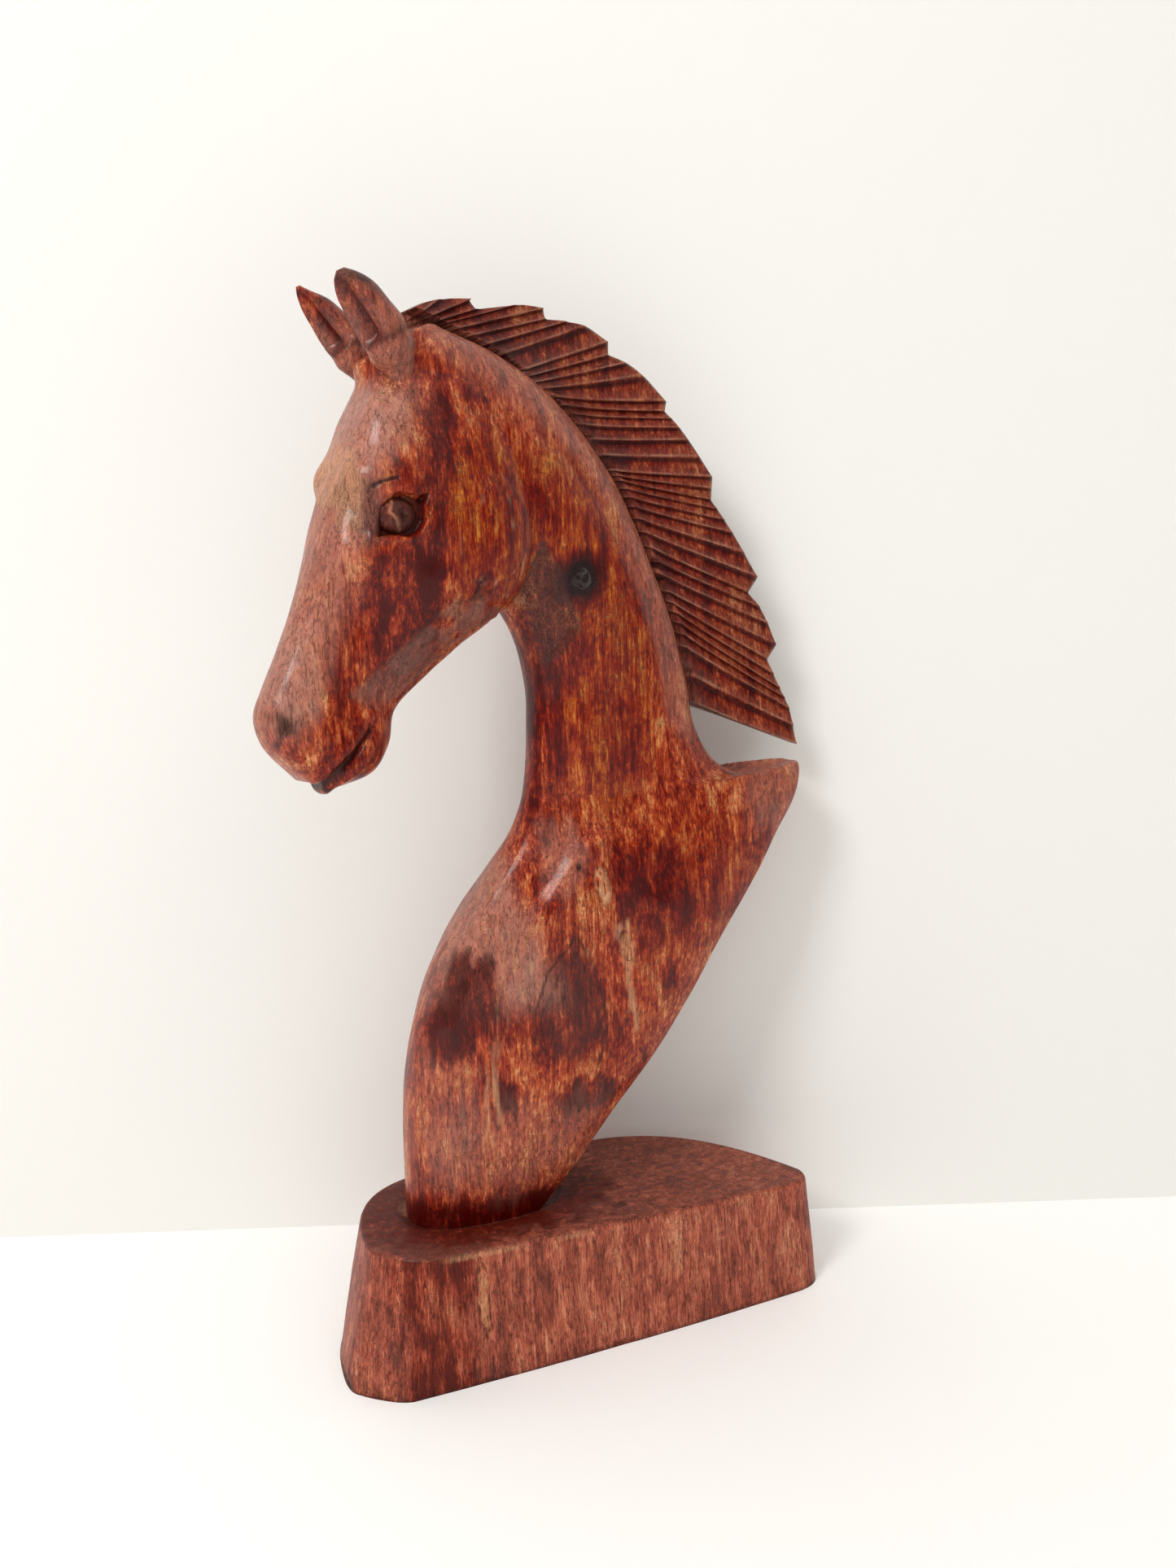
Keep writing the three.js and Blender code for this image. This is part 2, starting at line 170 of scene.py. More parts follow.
def base_rings():
    """Rings from the middle of the underside, up the sawn sides and in over the top."""
    bottom = base_outline()
    middle = bottom.mean(axis=0)
    top = BASE_TAPER_CENTRE + (bottom - BASE_TAPER_CENTRE) * BASE_TOP_SCALE
    tangent = np.roll(top, -1, axis=0) - np.roll(top, 1, axis=0)
    inward = np.stack([-tangent[:, 1], tangent[:, 0]], axis=1)
    inward /= np.linalg.norm(inward, axis=1)[:, None]
    rings = []
    for k in range(1, BASE_UNDERSIDE_RINGS + 1):
        flat = middle + (bottom - middle) * k / BASE_UNDERSIDE_RINGS
        rings.append(np.column_stack([flat, np.zeros(BASE_STEPS)]))
    for k in range(1, BASE_SIDE_RINGS + 1):
        t = k / BASE_SIDE_RINGS
        flat = bottom * (1 - t) + top * t
        rings.append(np.column_stack([flat, t * (base_top(top[:, 0]) - BASE_EDGE)]))
    for angle in np.radians([18, 36, 54, 72, 90]):
        flat = top + inward * BASE_EDGE * (1 - math.cos(angle))
        height = base_top(flat[:, 0]) - BASE_EDGE * (1 - math.sin(angle))
        rings.append(np.column_stack([flat, height]))
    rim = rings[-1][:, :2]
    for k in range(1, BASE_TOP_RINGS):
        flat = middle + (rim - middle) * (1 - k / BASE_TOP_RINGS)
        rings.append(np.column_stack([flat, base_top(flat[:, 0])]))
    return rings


def skin(rings):
    """Points and faces of a closed skin over equal rings, with a point in each end."""
    steps = len(rings[0])
    points = np.vstack(rings + [rings[0].mean(axis=0), rings[-1].mean(axis=0)])
    a = np.arange(steps)
    b = (a + 1) % steps
    faces = []
    for i in range(len(rings) - 1):
        low, high = i * steps, (i + 1) * steps
        faces += np.stack([low + a, low + b, high + b, high + a], axis=1).tolist()
    first, last = len(points) - 2, len(points) - 1
    end = (len(rings) - 1) * steps
    faces += np.stack([b, a, np.full(steps, first)], axis=1).tolist()
    faces += np.stack([end + a, end + b, np.full(steps, last)], axis=1).tolist()
    return points, faces


def new_mesh(name, points, faces):
    mesh = bpy.data.meshes.new(name)
    mesh.from_pydata(np.asarray(points, float).tolist(), [], faces)
    mesh.update()
    return mesh


def face_out(mesh):
    """Makes every face of a closed mesh point outwards."""
    work = bmesh.new()
    work.from_mesh(mesh)
    bmesh.ops.recalc_face_normals(work, faces=work.faces)
    work.to_mesh(mesh)
    work.free()


def read_points(mesh):
    flat = np.empty(len(mesh.vertices) * 3, np.float32)
    mesh.vertices.foreach_get("co", flat)
    return flat.reshape(-1, 3).astype(float)


def write_points(mesh, points):
    mesh.vertices.foreach_set("co", np.asarray(points, np.float32).ravel())
    mesh.update()


def read_normals(mesh):
    flat = np.empty(len(mesh.vertices) * 3, np.float32)
    mesh.vertex_normals.foreach_get("vector", flat)
    return flat.reshape(-1, 3).astype(float)


def wear_layer(mesh, name, values):
    """A soft mask on the surface, from 0 to 1, that the finish reads."""
    layer = mesh.attributes.get(name) or mesh.attributes.new(name, "FLOAT", "POINT")
    layer.data.foreach_set("value", np.clip(values, 0, 1).astype(np.float32))


def add_piece(name, mesh, finish, replaced=()):
    mesh.materials.clear()
    mesh.materials.append(finish)
    mesh.polygons.foreach_set("use_smooth", np.ones(len(mesh.polygons), bool))
    piece = bpy.data.objects.new(name, mesh)
    bpy.context.scene.collection.objects.link(piece)
    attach(piece, "root")
    if replaced:
        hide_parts(*replaced)


def from_foot(points):
    """How far a point of the base's top lies outside the carved foot, in mm."""
    around = np.abs(points[:, :2] - FOOT_CENTRE) / FOOT_HALF
    return ((around ** 2.5).sum(axis=1) ** 0.4 - 1) * FOOT_HALF.mean()


def weather_base(points):
    """Saw waves, worn top edge, chipped foot edge and the groove round the carved foot."""
    top = base_top(points[:, 0])
    away = points[:, :2] - points[:, :2].mean(axis=0)
    away /= np.maximum(np.linalg.norm(away, axis=1), 1)[:, None]
    side = smooth_step(0.2, 1.2, points[:, 2]) * smooth_step(0.1, 1.8, top - points[:, 2])
    wave = 0.22 * lumps(points, (14, 14, 9)) + 0.09 * lumps(points, (1.6, 1.6, 22), 1)
    wave += 0.05 * lumps(points, (0.9, 0.9, 7), 2)
    chips = smooth_step(0.15, 0.75, lumps(points, (4.5, 4.5, 3), 3))
    chips = chips * smooth_step(2.6, 0.2, points[:, 2]) * smooth_step(-0.1, 0.3, points[:, 2])
    edge = smooth_step(2.2, 0, top - points[:, 2])
    rub = smooth_step(0.05, 0.8, lumps(points, (7, 7, 5), 4)) + 0.35
    moved = points.copy()
    moved[:, :2] += away * (side * wave - 0.7 * chips - 0.25 * edge * rub)[:, None]
    on_top = smooth_step(0.4, 0, top - points[:, 2])
    hollow = 0.2 * lumps(points, (16, 16, 16), 5) + 0.07 * lumps(points, (7, 1.6, 5), 6)
    groove = smooth_step(2.2, 0.4, from_foot(points))
    moved[:, 2] += on_top * (hollow - 0.25 - 0.7 * groove)
    return moved


def hex_colour(code):
    """An sRGB hex colour as linear red, green, blue and alpha."""
    srgb = [int(code[k:k + 2], 16) / 255 for k in (1, 3, 5)]
    return [c / 12.92 if c <= 0.04045 else ((c + 0.055) / 1.055) ** 2.4 for c in srgb] + [1.0]


def add_node(tree, kind, settings=None, inputs=None):
    """Adds a node, sets its properties, and fills or links its inputs."""
    node = tree.nodes.new(kind)
    for key, value in (settings or {}).items():
        setattr(node, key, value)
    for key, value in (inputs or {}).items():
        if isinstance(value, bpy.types.NodeSocket):
            tree.links.new(value, node.inputs[key])
        else:
            node.inputs[key].default_value = value
    return node


def new_finish(name, roughness, coat, coat_roughness):
    """An empty finish with a plain shader, and the figurine's own millimetres to draw on."""
    finish = bpy.data.materials.new(name)
    finish.use_nodes = True
    tree = finish.node_tree
    tree.nodes.clear()
    shader = add_node(tree, "ShaderNodeBsdfPrincipled", {}, {
        "Roughness": roughness, "IOR": 1.5, "Coat Weight": coat, "Coat Roughness": coat_roughness})
    add_node(tree, "ShaderNodeOutputMaterial", {}, {"Surface": shader.outputs["BSDF"]})
    where = add_node(tree, "ShaderNodeTexCoord")
    mm = add_node(tree, "ShaderNodeVectorMath", {"operation": "SCALE"}, {
        0: where.outputs["Object"], "Scale": 1 / MM})
    return finish, tree, shader, mm.outputs[0]


def stained_wood(name, stops, coat, roughness, mottled=1.0, hairs=0.0, ring_middle=(-1, 62)):
    """Stained, varnished hardwood with upright grain.

    The red stain lies in uneven streaks, blotches and mottle over faint growth rings; thin dark
    veins and short pores run with the grain, and cross-grain chatter and cracks break it up.
    Painted shade darkens the cuts and hollows, worn edges and painted highlights are paler, and a
    pale pink painted sheen lies where the varnish would mirror the light; the varnish itself shines.
    Sawn faces have less mottle and more straight hairlines.
    """
    finish, tree, shader, mm = new_finish(name, roughness, coat, 0.16)
    shader.inputs["Specular IOR Level"].default_value = 0.16

    def stretched(size, shift=(0, 0, 0), turn=(0, 0, 0)):
        return add_node(tree, "ShaderNodeMapping", {}, {
            "Vector": mm, "Location": shift, "Rotation": turn, "Scale": [1 / s for s in size]}).outputs[0]

    def cloud(size, detail, rough, shift=(0, 0, 0), bent=0.0, turn=(0, 0, 0)):
        return add_node(tree, "ShaderNodeTexNoise", {}, {
            "Vector": stretched(size, shift, turn), "Scale": 1.0, "Detail": detail,
            "Roughness": rough, "Distortion": bent}).outputs["Fac"]

    def math_of(operation, a, b, c=None):
        inputs = {0: a, 1: b} if c is None else {0: a, 1: b, 2: c}
        return add_node(tree, "ShaderNodeMath", {"operation": operation}, inputs).outputs[0]

    def swing(value, amount, onto):
        """Adds a cloud's swing about its middle to the tone."""
        return math_of("MULTIPLY_ADD", value, amount, math_of("SUBTRACT", onto, amount / 2))

    def above(value, low, high):
        return add_node(tree, "ShaderNodeMapRange", {"interpolation_type": "SMOOTHSTEP"}, {
            "Value": value, "From Min": low, "From Max": high}).outputs[0]

    def layer(label):
        return add_node(tree, "ShaderNodeAttribute", {"attribute_name": label}).outputs["Fac"]

    def blend_in(amount, under, over):
        return add_node(tree, "ShaderNodeMix", {"data_type": "RGBA"}, {
            0: amount, 6: under, 7: over}).outputs[2]

    def ramp_of(colours, tone):
        ramp = add_node(tree, "ShaderNodeValToRGB", {}, {"Fac": tone})
        stop_list = ramp.color_ramp.elements
        while len(stop_list) < len(colours):
            stop_list.new(0.5)
        for stop, (at, code) in zip(stop_list, colours):
            stop.position = at
            stop.color = hex_colour(code)
        return ramp.outputs[0]

    def line_of(value, width):
        """Thin wandering lines where a cloud crosses its middle."""
        off = math_of("ABSOLUTE", math_of("SUBTRACT", value, 0.5), 0.0)
        return above(off, width, 0.0)

    streak = cloud((2.2, 2.2, 34), 5, 0.62, bent=0.5)
    blotch = cloud((8, 8, 13), 5, 0.65, (3, 1, 2), 0.6)
    fibre = cloud((0.5, 0.5, 5), 4, 0.7, (5, 2, 8), 0.4)
    mottle = cloud((1.3, 1.3, 2.2), 4, 0.7, (1, 9, 3), 0.8)
    dash = cloud((0.45, 0.45, 2.4), 2, 0.5, (9, 4, 7), 0.6)
    scratch = cloud((1.1, 1.1, 1.5), 3, 0.6, (6, 6, 1), 1.6)
    ripple = cloud((5, 5, 0.75), 3, 0.6, (2, 7, 4), 0.7)
    ring = add_node(tree, "ShaderNodeTexWave", {"wave_type": "RINGS", "rings_direction": "Z"}, {
        "Vector": stretched((1, 1, 9), (-ring_middle[0], -ring_middle[1], 0)), "Scale": 0.115,
        "Distortion": 4.5, "Detail": 3, "Detail Scale": 0.22, "Detail Roughness": 0.6}).outputs["Fac"]
    vein = line_of(cloud((1.5, 1.5, 13), 3, 0.55, (4, 4, 4), 0.5), 0.022)
    crack = math_of("MULTIPLY", line_of(scratch, 0.03), above(blotch, 0.45, 0.62))
    chatter = math_of("MULTIPLY", line_of(ripple, 0.03), above(blotch, 0.52, 0.66))
    pore = above(dash, 0.58, 0.66)
    hair = line_of(cloud((0.7, 0.7, 20), 2, 0.5, (8, 3, 5), 0.2), 0.03)

    tone = swing(streak, 1.2, 0.5)
    tone = swing(blotch, 1.5, tone)
    tone = swing(fibre, 1.3, tone)
    tone = swing(mottle, mottled, tone)
    tone = swing(ring, 0.1, tone)
    # the stain layer darkens the tone; on the nostril, before the eyes, on the eye domes, in the ear hollows
    # and in the mane's valleys it also carries painted shade
    tone = math_of("MULTIPLY_ADD", layer("stain"), -0.48, tone)
    colour = blend_in(layer("glow"), ramp_of(stops, tone), ramp_of(AMBER_STAIN, tone))
    # a pale pink painted sheen, laid where the varnish would mirror the light, and a little dull varnish
    sheen_and_haze_mix = math_of("MULTIPLY", layer("haze_and_sheen"), math_of("MULTIPLY_ADD", mottle, 1.3, 0.05))
    colour = blend_in(sheen_and_haze_mix, colour, hex_colour("#b5806e"))
    # grey-mauve: a painted sheen on the jaw facet, painted shade in hollows, and greyed wood
    greyed = math_of("MULTIPLY", layer("grey"), math_of("MULTIPLY_ADD", scratch, 1.2, 0.1))
    colour = blend_in(greyed, colour, hex_colour("#5f3a33"))
    # paler where worn, and painted highlights on the mane's ridges and the eyes' knife ridges
    wear_and_highlight_mix = math_of("MULTIPLY", layer("worn"), math_of("MULTIPLY_ADD", fibre, 1.4, 0.1))
    colour = blend_in(wear_and_highlight_mix, colour, hex_colour("#d29a72"))
    for mark, depth in ((vein, 0.55), (crack, 0.55), (chatter, 0.5), (pore, 0.45), (hair, hairs)):
        colour = blend_in(math_of("MULTIPLY", mark, depth), colour, hex_colour("#300400"))
    scribble = math_of("MULTIPLY", layer("grey"), line_of(scratch, 0.05))
    colour = blend_in(math_of("MULTIPLY", scribble, 0.7), colour, hex_colour("#2a0a06"))
    # near-black marks, and painted shade in the cuts, creases and hollows
    colour = blend_in(layer("black_marks_and_shade"), colour, hex_colour("#1c0302"))
    tree.links.new(colour, shader.inputs["Base Color"])

    gloss = swing(fibre, 0.35, roughness)
    gloss = math_of("MULTIPLY_ADD", layer("worn"), 0.16, gloss)
    tree.links.new(gloss, shader.inputs["Roughness"])
    height = math_of("MULTIPLY_ADD", pore, -0.5, fibre)
    relief = [(vein, -0.6), (crack, -0.6), (chatter, -0.6), (scribble, -0.9), (hair, -hairs), (mottle, 0.5)]
    for mark, depth in relief:
        height = math_of("MULTIPLY_ADD", mark, depth, height)
    bump = add_node(tree, "ShaderNodeBump", {}, {
        "Strength": 0.6, "Distance": 0.16 * MM, "Height": height})
    tree.links.new(bump.outputs[0], shader.inputs["Normal"])
    return finish


AMBER_STAIN = [(0.08, "#440100"), (0.3, "#6a0900"), (0.5, "#8c2204"), (0.7, "#aa480f"), (0.95, "#cf7f30")]
BASE_STAIN = [(0.08, "#5c1608"), (0.3, "#8c321b"), (0.5, "#b05238"), (0.7, "#cc7050"), (0.95, "#e6a074")]


def make_base():
    points, faces = skin(base_rings())
    points = weather_base(points)
    mesh = new_mesh("base_block_carved", points, faces)
    face_out(mesh)
    top = base_top(points[:, 0])
    on_top = smooth_step(1.4, 0.2, top - points[:, 2])
    front = smooth_step(-40, -60, points[:, 0])
    flecks = smooth_step(0.3, 0.6, lumps(points, (2.2, 1.2, 2), 9))
    flecks = flecks * smooth_step(34, 4, np.linalg.norm(points[:, :2] - (2, -10), axis=1))
    edge = smooth_step(0.9, 0.3, np.abs(top - points[:, 2] - 1.3))
    torn = 3 * lumps(points, (2.5, 2.5, 12), 10) + 2 * lumps(points, (1.1, 1.1, 7), 11)
    dark_front = band(points[:, 0] + torn, -54, -37, 2) * (points[:, 1] < 0)
    pooled = smooth_step(16, 6, from_foot(points) + 1.2 * torn) * on_top
    # the base is also darker towards its bottom edge
    low_edge = smooth_step(7, 2, points[:, 2] + 0.8 * torn)
    low_edge = low_edge * smooth_step(-0.4, 0.5, lumps(points, (9, 9, 9), 34))
    stain = 0.4 * on_top + 0.45 * dark_front + 0.15 * front + 0.95 * pooled + 0.4 * low_edge
    wear_layer(mesh, "stain", stain)
    wear_layer(mesh, "worn", 0.6 * edge * smooth_step(-0.1, 0.6, lumps(points, (9, 9, 9), 8)))
    wear_layer(mesh, "haze_and_sheen", 0.3 * on_top * (1 - pooled) + 0.2 * (1 - on_top) * (1 - dark_front))
    groove = smooth_step(2.2, 0.6, from_foot(points)) * on_top
    foot_edge = smooth_step(1.3, 0, points[:, 2])
    wear_layer(mesh, "black_marks_and_shade", 0.85 * groove + 0.6 * flecks * on_top + 0.5 * foot_edge)
    base_tree = BVHTree.FromPolygons(points.tolist(), faces)
    write_points(mesh, place(points))
    finish = stained_wood("sawn_stained_hardwood", BASE_STAIN, 0.1, 0.5, 0.5, 0.6, (20, 50))
    add_piece("base_block_carved", mesh, finish, ["base_block"])
    return base_tree


base_skin = make_base()

# ---- the dowels -----------------------------------------------------------------------------
# Two bare birch pins, glued blind into the foot and the base. They keep their plain turned
# shape and only get the pale, close-grained look of unfinished dowel.
DOWEL_PALE = "#c9a06c"
DOWEL_DARK = "#a97c4b"


def bare_dowel():
    """Unfinished birch: pale and matt, with fine lengthwise lines."""
    finish, tree, shader, mm = new_finish("bare_birch_dowel", 0.7, 0.0, 0.3)
    along = add_node(tree, "ShaderNodeMapping", {}, {"Vector": mm, "Scale": (1 / 0.6, 1 / 0.6, 1 / 12)})
    lines = add_node(tree, "ShaderNodeTexNoise", {}, {
        "Vector": along.outputs[0], "Scale": 1.0, "Detail": 3})
    colour = add_node(tree, "ShaderNodeMix", {"data_type": "RGBA"}, {
        0: lines.outputs["Fac"], 6: hex_colour(DOWEL_DARK), 7: hex_colour(DOWEL_PALE)})
    tree.links.new(colour.outputs[2], shader.inputs["Base Color"])
    return finish


dowel_finish = bare_dowel()
for dowel_name in ("dowel_front", "dowel_rear"):
    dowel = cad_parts[dowel_name]
    dowel.data.materials.clear()
    dowel.data.materials.append(dowel_finish)

# ---- the carved bust: neck, chest and head --------------------------------------------------
# One board of hardwood, bandsawn in side view, rounded with knives and sanded, then stained
# red-brown and varnished. The back stays flat from the saw, the head is turned to its left.
NECK_STATIONS = [  # front x, front z, back x, back z, half width, fullness of the section
    (-46.9, 27, -11, 26, 10.8, 2.6), (-46.8, 33.4, -8, 31.9, 11.3, 2.55), (-46.7, 41, 1, 41, 12.8, 2.5),
    (-46.3, 51, 9.6, 51.4, 14.3, 2.45), (-45.3, 66, 21.2, 63.5, 15.7, 2.4),
    (-42.5, 80, 34, 80, 16.8, 2.4), (-37.6, 93, 43.2, 94, 17.4, 2.4),
    (-30, 106.5, 52.5, 107, 17.2, 2.35), (-22.8, 117.5, 60, 119.5, 15.5, 2.3),
    (-17.2, 126, 68.5, 131, 13.5, 2.25), (-14.8, 132, 66.3, 137.3, 12.3, 2.2),
    (-13.6, 137, 52, 134.2, 12, 2.15), (-12.6, 143.5, 40.5, 139, 11.8, 2.15),
    (-12.2, 151, 34.4, 149.5, 11.5, 2.15), (-11.9, 159.4, 32.4, 161, 11.5, 2.15),
    (-14.1, 171, 28, 177, 12, 2.15), (-19, 180, 21.4, 194, 12.6, 2.15), (-30, 188, 13.4, 210.5, 13, 2.1),
    (-42, 205, 0.5, 224.5, 13, 2.1), (-50, 222, -18, 235.5, 11.5, 2.1), (-52, 232, -35, 241.5, 8, 2.1)]
HEAD_STATIONS = [  # the same, from the lips up to the poll
    (-72.3, 146.6, -66.5, 142.2, 4.5, 2.1), (-77.6, 153, -60.8, 143.2, 8.2, 2.2),
    (-79.2, 159.3, -54.6, 145.3, 9.4, 2.3), (-77, 165, -50.3, 151, 9.2, 2.3),
    (-73.9, 171, -48.6, 158, 9, 2.3), (-70.4, 179, -41.3, 164.8, 10, 2.3),
    (-67.6, 186, -33, 171, 12, 2.35), (-64.7, 194, -25, 176.5, 15, 2.45), (-61.6, 203.5, -16, 184, 16.3, 2.5),
    (-58.2, 212.5, -12, 198, 16, 2.4), (-54.8, 220, -12, 212, 14.6, 2.25), (-51, 228.5, -16, 225, 12.5, 2.15),
    (-47.5, 235, -24, 235.5, 10, 2.1), (-44, 238.5, -32, 240, 6, 2.1)]
BACK_CUT = [  # side view of the saw cut, from the withers down to the foot
    (64.4, 139), (61, 130.4), (51.5, 116), (38.1, 98.3), (29, 84.3), (16.3, 66.8), (5.2, 54.7),
    (-1.6, 46.3), (-16, 30)]
HEAD_CUT = [(-19.5, 178.5), (-36, 240)]
TURN_ANGLE = math.radians(13)
TURN_AXIS_X = 15.0
NECK_ROWS = 150
HEAD_ROWS = 120
SECTION_STEPS = 96
REMESH_STEP = 0.61
FOOT_SINK = 0.8        # how far the foot stands below the top of the base, in its groove
CUT_BAND = 1.5         # height of the strips that the back cut is divided into
EYE_CENTRE = (-50.4, 199.4)
EYE_OUTLINE = [(-51.6, 203.7), (-49.9, 204), (-48.1, 203.7), (-47.2, 203), (-44.6, 203.9), (-45.5, 201.5),
               (-45.4, 198.2), (-47.1, 195.6), (-49.3, 194.8), (-51.4, 195.2), (-55.6, 195), (-55.1, 198.6),
               (-54.6, 200.8), (-53.4, 202.4)]


def curve_through(points, count):
    """`count` points on a smooth curve through the given ones (centripetal Catmull-Rom)."""
    given = np.asarray(points, float)
    given = np.vstack([2 * given[0] - given[1], given, 2 * given[-1] - given[-2]])
    at = np.linspace(0, len(given) - 3, count)
    i = np.minimum(at.astype(int), len(given) - 4)
    t = (at - i)[:, None]
    p0, p1, p2, p3 = (given[i + k] for k in range(4))
    d0, d1, d2 = (np.sqrt(np.maximum(np.linalg.norm(b - a, axis=1), 1e-4))[:, None]
                  for a, b in ((p0, p1), (p1, p2), (p2, p3)))
    leave = ((p1 - p0) / d0 - (p2 - p0) / (d0 + d1) + (p2 - p1) / d1) * d1
    arrive = ((p2 - p1) / d1 - (p3 - p1) / (d1 + d2) + (p3 - p2) / d2) * d1
    t2, t3 = t * t, t * t * t
    return ((2 * t3 - 3 * t2 + 1) * p1 + (t3 - 2 * t2 + t) * leave
            + (3 * t2 - 2 * t3) * p2 + (t3 - t2) * arrive)


def carved_rings(stations, rows, steps):
    """Rounded sections that stand on lines from the front to the back of the carving."""
    table = np.asarray(stations, float)
    front = curve_through(table[:, 0:2], rows)
    back = curve_through(table[:, 2:5], rows)
    fullness = curve_through(table[:, 5:6], rows)[:, 0]
    angle = 2 * np.pi * np.arange(steps) / steps
    c, s = np.cos(angle), np.sin(angle)
    rings = []
    for f, b, full in zip(front, back, fullness):
        run = (np.sign(c) * np.abs(c) ** (2 / full))[:, None]
        width = b[2] * np.sign(s) * np.abs(s) ** (2 / full)
        flat = (f + b[:2]) / 2 + (f - b[:2]) / 2 * run
        rings.append(np.column_stack([flat[:, 0], width, flat[:, 1]]))
    return rings


def joined_and_remeshed(skins, step):
    """One watertight skin of even small faces round all the given closed skins."""
    points = np.vstack([p for p, _ in skins])
    faces, shift = [], 0
    for p, f in skins:
        faces += [[k + shift for k in face] for face in f]
        shift += len(p)
    rough = new_mesh("rough", points, faces)
    face_out(rough)
    block = bpy.data.objects.new("rough", rough)
    bpy.context.scene.collection.objects.link(block)
    remesh = block.modifiers.new("remesh", "REMESH")
    remesh.mode = "VOXEL"
    remesh.voxel_size = step
    mesh = bpy.data.meshes.new_from_object(block.evaluated_get(bpy.context.evaluated_depsgraph_get()))
    bpy.data.objects.remove(block)
    bpy.data.meshes.remove(rough)
    return mesh


def relax(mesh, points, rounds, where=None):
    """Sanding: every point moves towards the middle of its neighbours."""
    ends = np.empty(len(mesh.edges) * 2, np.int32)
    mesh.edges.foreach_get("vertices", ends)
    a, b = ends.reshape(-1, 2).T
    count = np.bincount(np.concatenate([a, b]), minlength=len(points))[:, None]
    amount = 0.5 if where is None else 0.5 * where[:, None]
    for _ in range(rounds):
        total = np.stack([np.bincount(a, values[b], len(points)) + np.bincount(b, values[a], len(points))
                          for values in points.T], axis=1)
        points = points + (total / np.maximum(count, 1) - points) * amount
    return points


def to_path(side_view, path):
    """Distance from each (x, z) to a line of points, and how far along it, from 0 to 1."""
    path = np.asarray(path, float)
    lengths = np.linalg.norm(np.diff(path, axis=0), axis=1)
    starts = np.concatenate([[0], np.cumsum(lengths)])
    best = np.full(len(side_view), 1e9)
    along = np.zeros(len(side_view))
    for a, b, start, length in zip(path, path[1:], starts, lengths):
        t = np.clip(((side_view - a) @ (b - a)) / length ** 2, 0, 1)
        gap = np.linalg.norm(side_view - a - t[:, None] * (b - a), axis=1)
        closer = gap < best
        best[closer] = gap[closer]
        along[closer] = (start + t[closer] * length) / starts[-1]
    return best, along


def inside(side_view, outline):
    """Distance to an outline in side view: positive inside it, negative outside."""
    outline = np.asarray(outline, float)
    gap, _ = to_path(side_view, np.vstack([outline, outline[:1]]))
    x, z = side_view.T
    crossed = np.zeros(len(x), bool)
    for (ax, az), (bx, bz) in zip(outline, np.roll(outline, -1, axis=0)):
        spans = (az > z) != (bz > z)
        with np.errstate(divide="ignore", invalid="ignore"):
            crossed ^= spans & (x < (bx - ax) * (z - az) / (bz - az) + ax)
    return np.where(crossed, gap, -gap)


def ridge(gap, width):
    return np.exp(-(gap / width) ** 2)


def closer_mesh(mesh, wanted):
    """Cuts the faces in four wherever `wanted` says so, for finer knife work."""
    fine = wanted(read_points(mesh))
    work = bmesh.new()
    work.from_mesh(mesh)
    edges = [e for e in work.edges if fine[e.verts[0].index] and fine[e.verts[1].index]]
    bmesh.ops.subdivide_edges(work, edges=edges, cuts=1, use_grid_fill=True)
    bmesh.ops.triangulate(work, faces=[f for f in work.faces if len(f.verts) > 4])
    work.to_mesh(mesh)
    work.free()


CREST_LINE = [(-42, 231), (-31, 230), (-19, 222.7), (-6, 214), (8, 202), (18.5, 184), (24, 168), (26, 153)]
SHOULDER_RIDGE = [(1, 124), (-5.6, 119), (-11.9, 110.2), (-16.5, 101), (-20, 88)]
CHEST_EDGE = [(-18.8, 137), (-21, 128), (-26, 113), (-31, 98), (-35, 82)]
CHEEK_MIDDLE = np.array([-36.5, 193.0])
CHEEK_RADIUS = 18.2
THROAT_HOLLOW = [(-14.6, 195), (-12.2, 191), (-8.7, 187), (-7.6, 183), (-4.2, 178.5), (-3, 174), (-7.5, 169),
                 (-13.5, 165), (-22, 165), (-26, 179), (-22.2, 183), (-18.5, 187), (-16.2, 191.5)]
CHEEK_NICK = [(-33.4, 186.8), (-31, 181.5), (-35, 181.5)]
JAW_FACET = [(-24, 179.5), (-30, 182), (-37.9, 182.5), (-46.2, 175), (-56, 167), (-62, 162.5), (-55, 158.5),
             (-46, 163), (-35, 170.5)]
MOUTH = [(-57.1, 155.9), (-59.6, 152.7), (-62, 149.8), (-64.4, 147), (-66.6, 144.2), (-68.6, 142)]
BROW_CREASE = [(-55.1, 205.2), (-53.8, 206), (-52, 206.5), (-50.6, 206.9)]
PIT = (-5.5, 118.1)


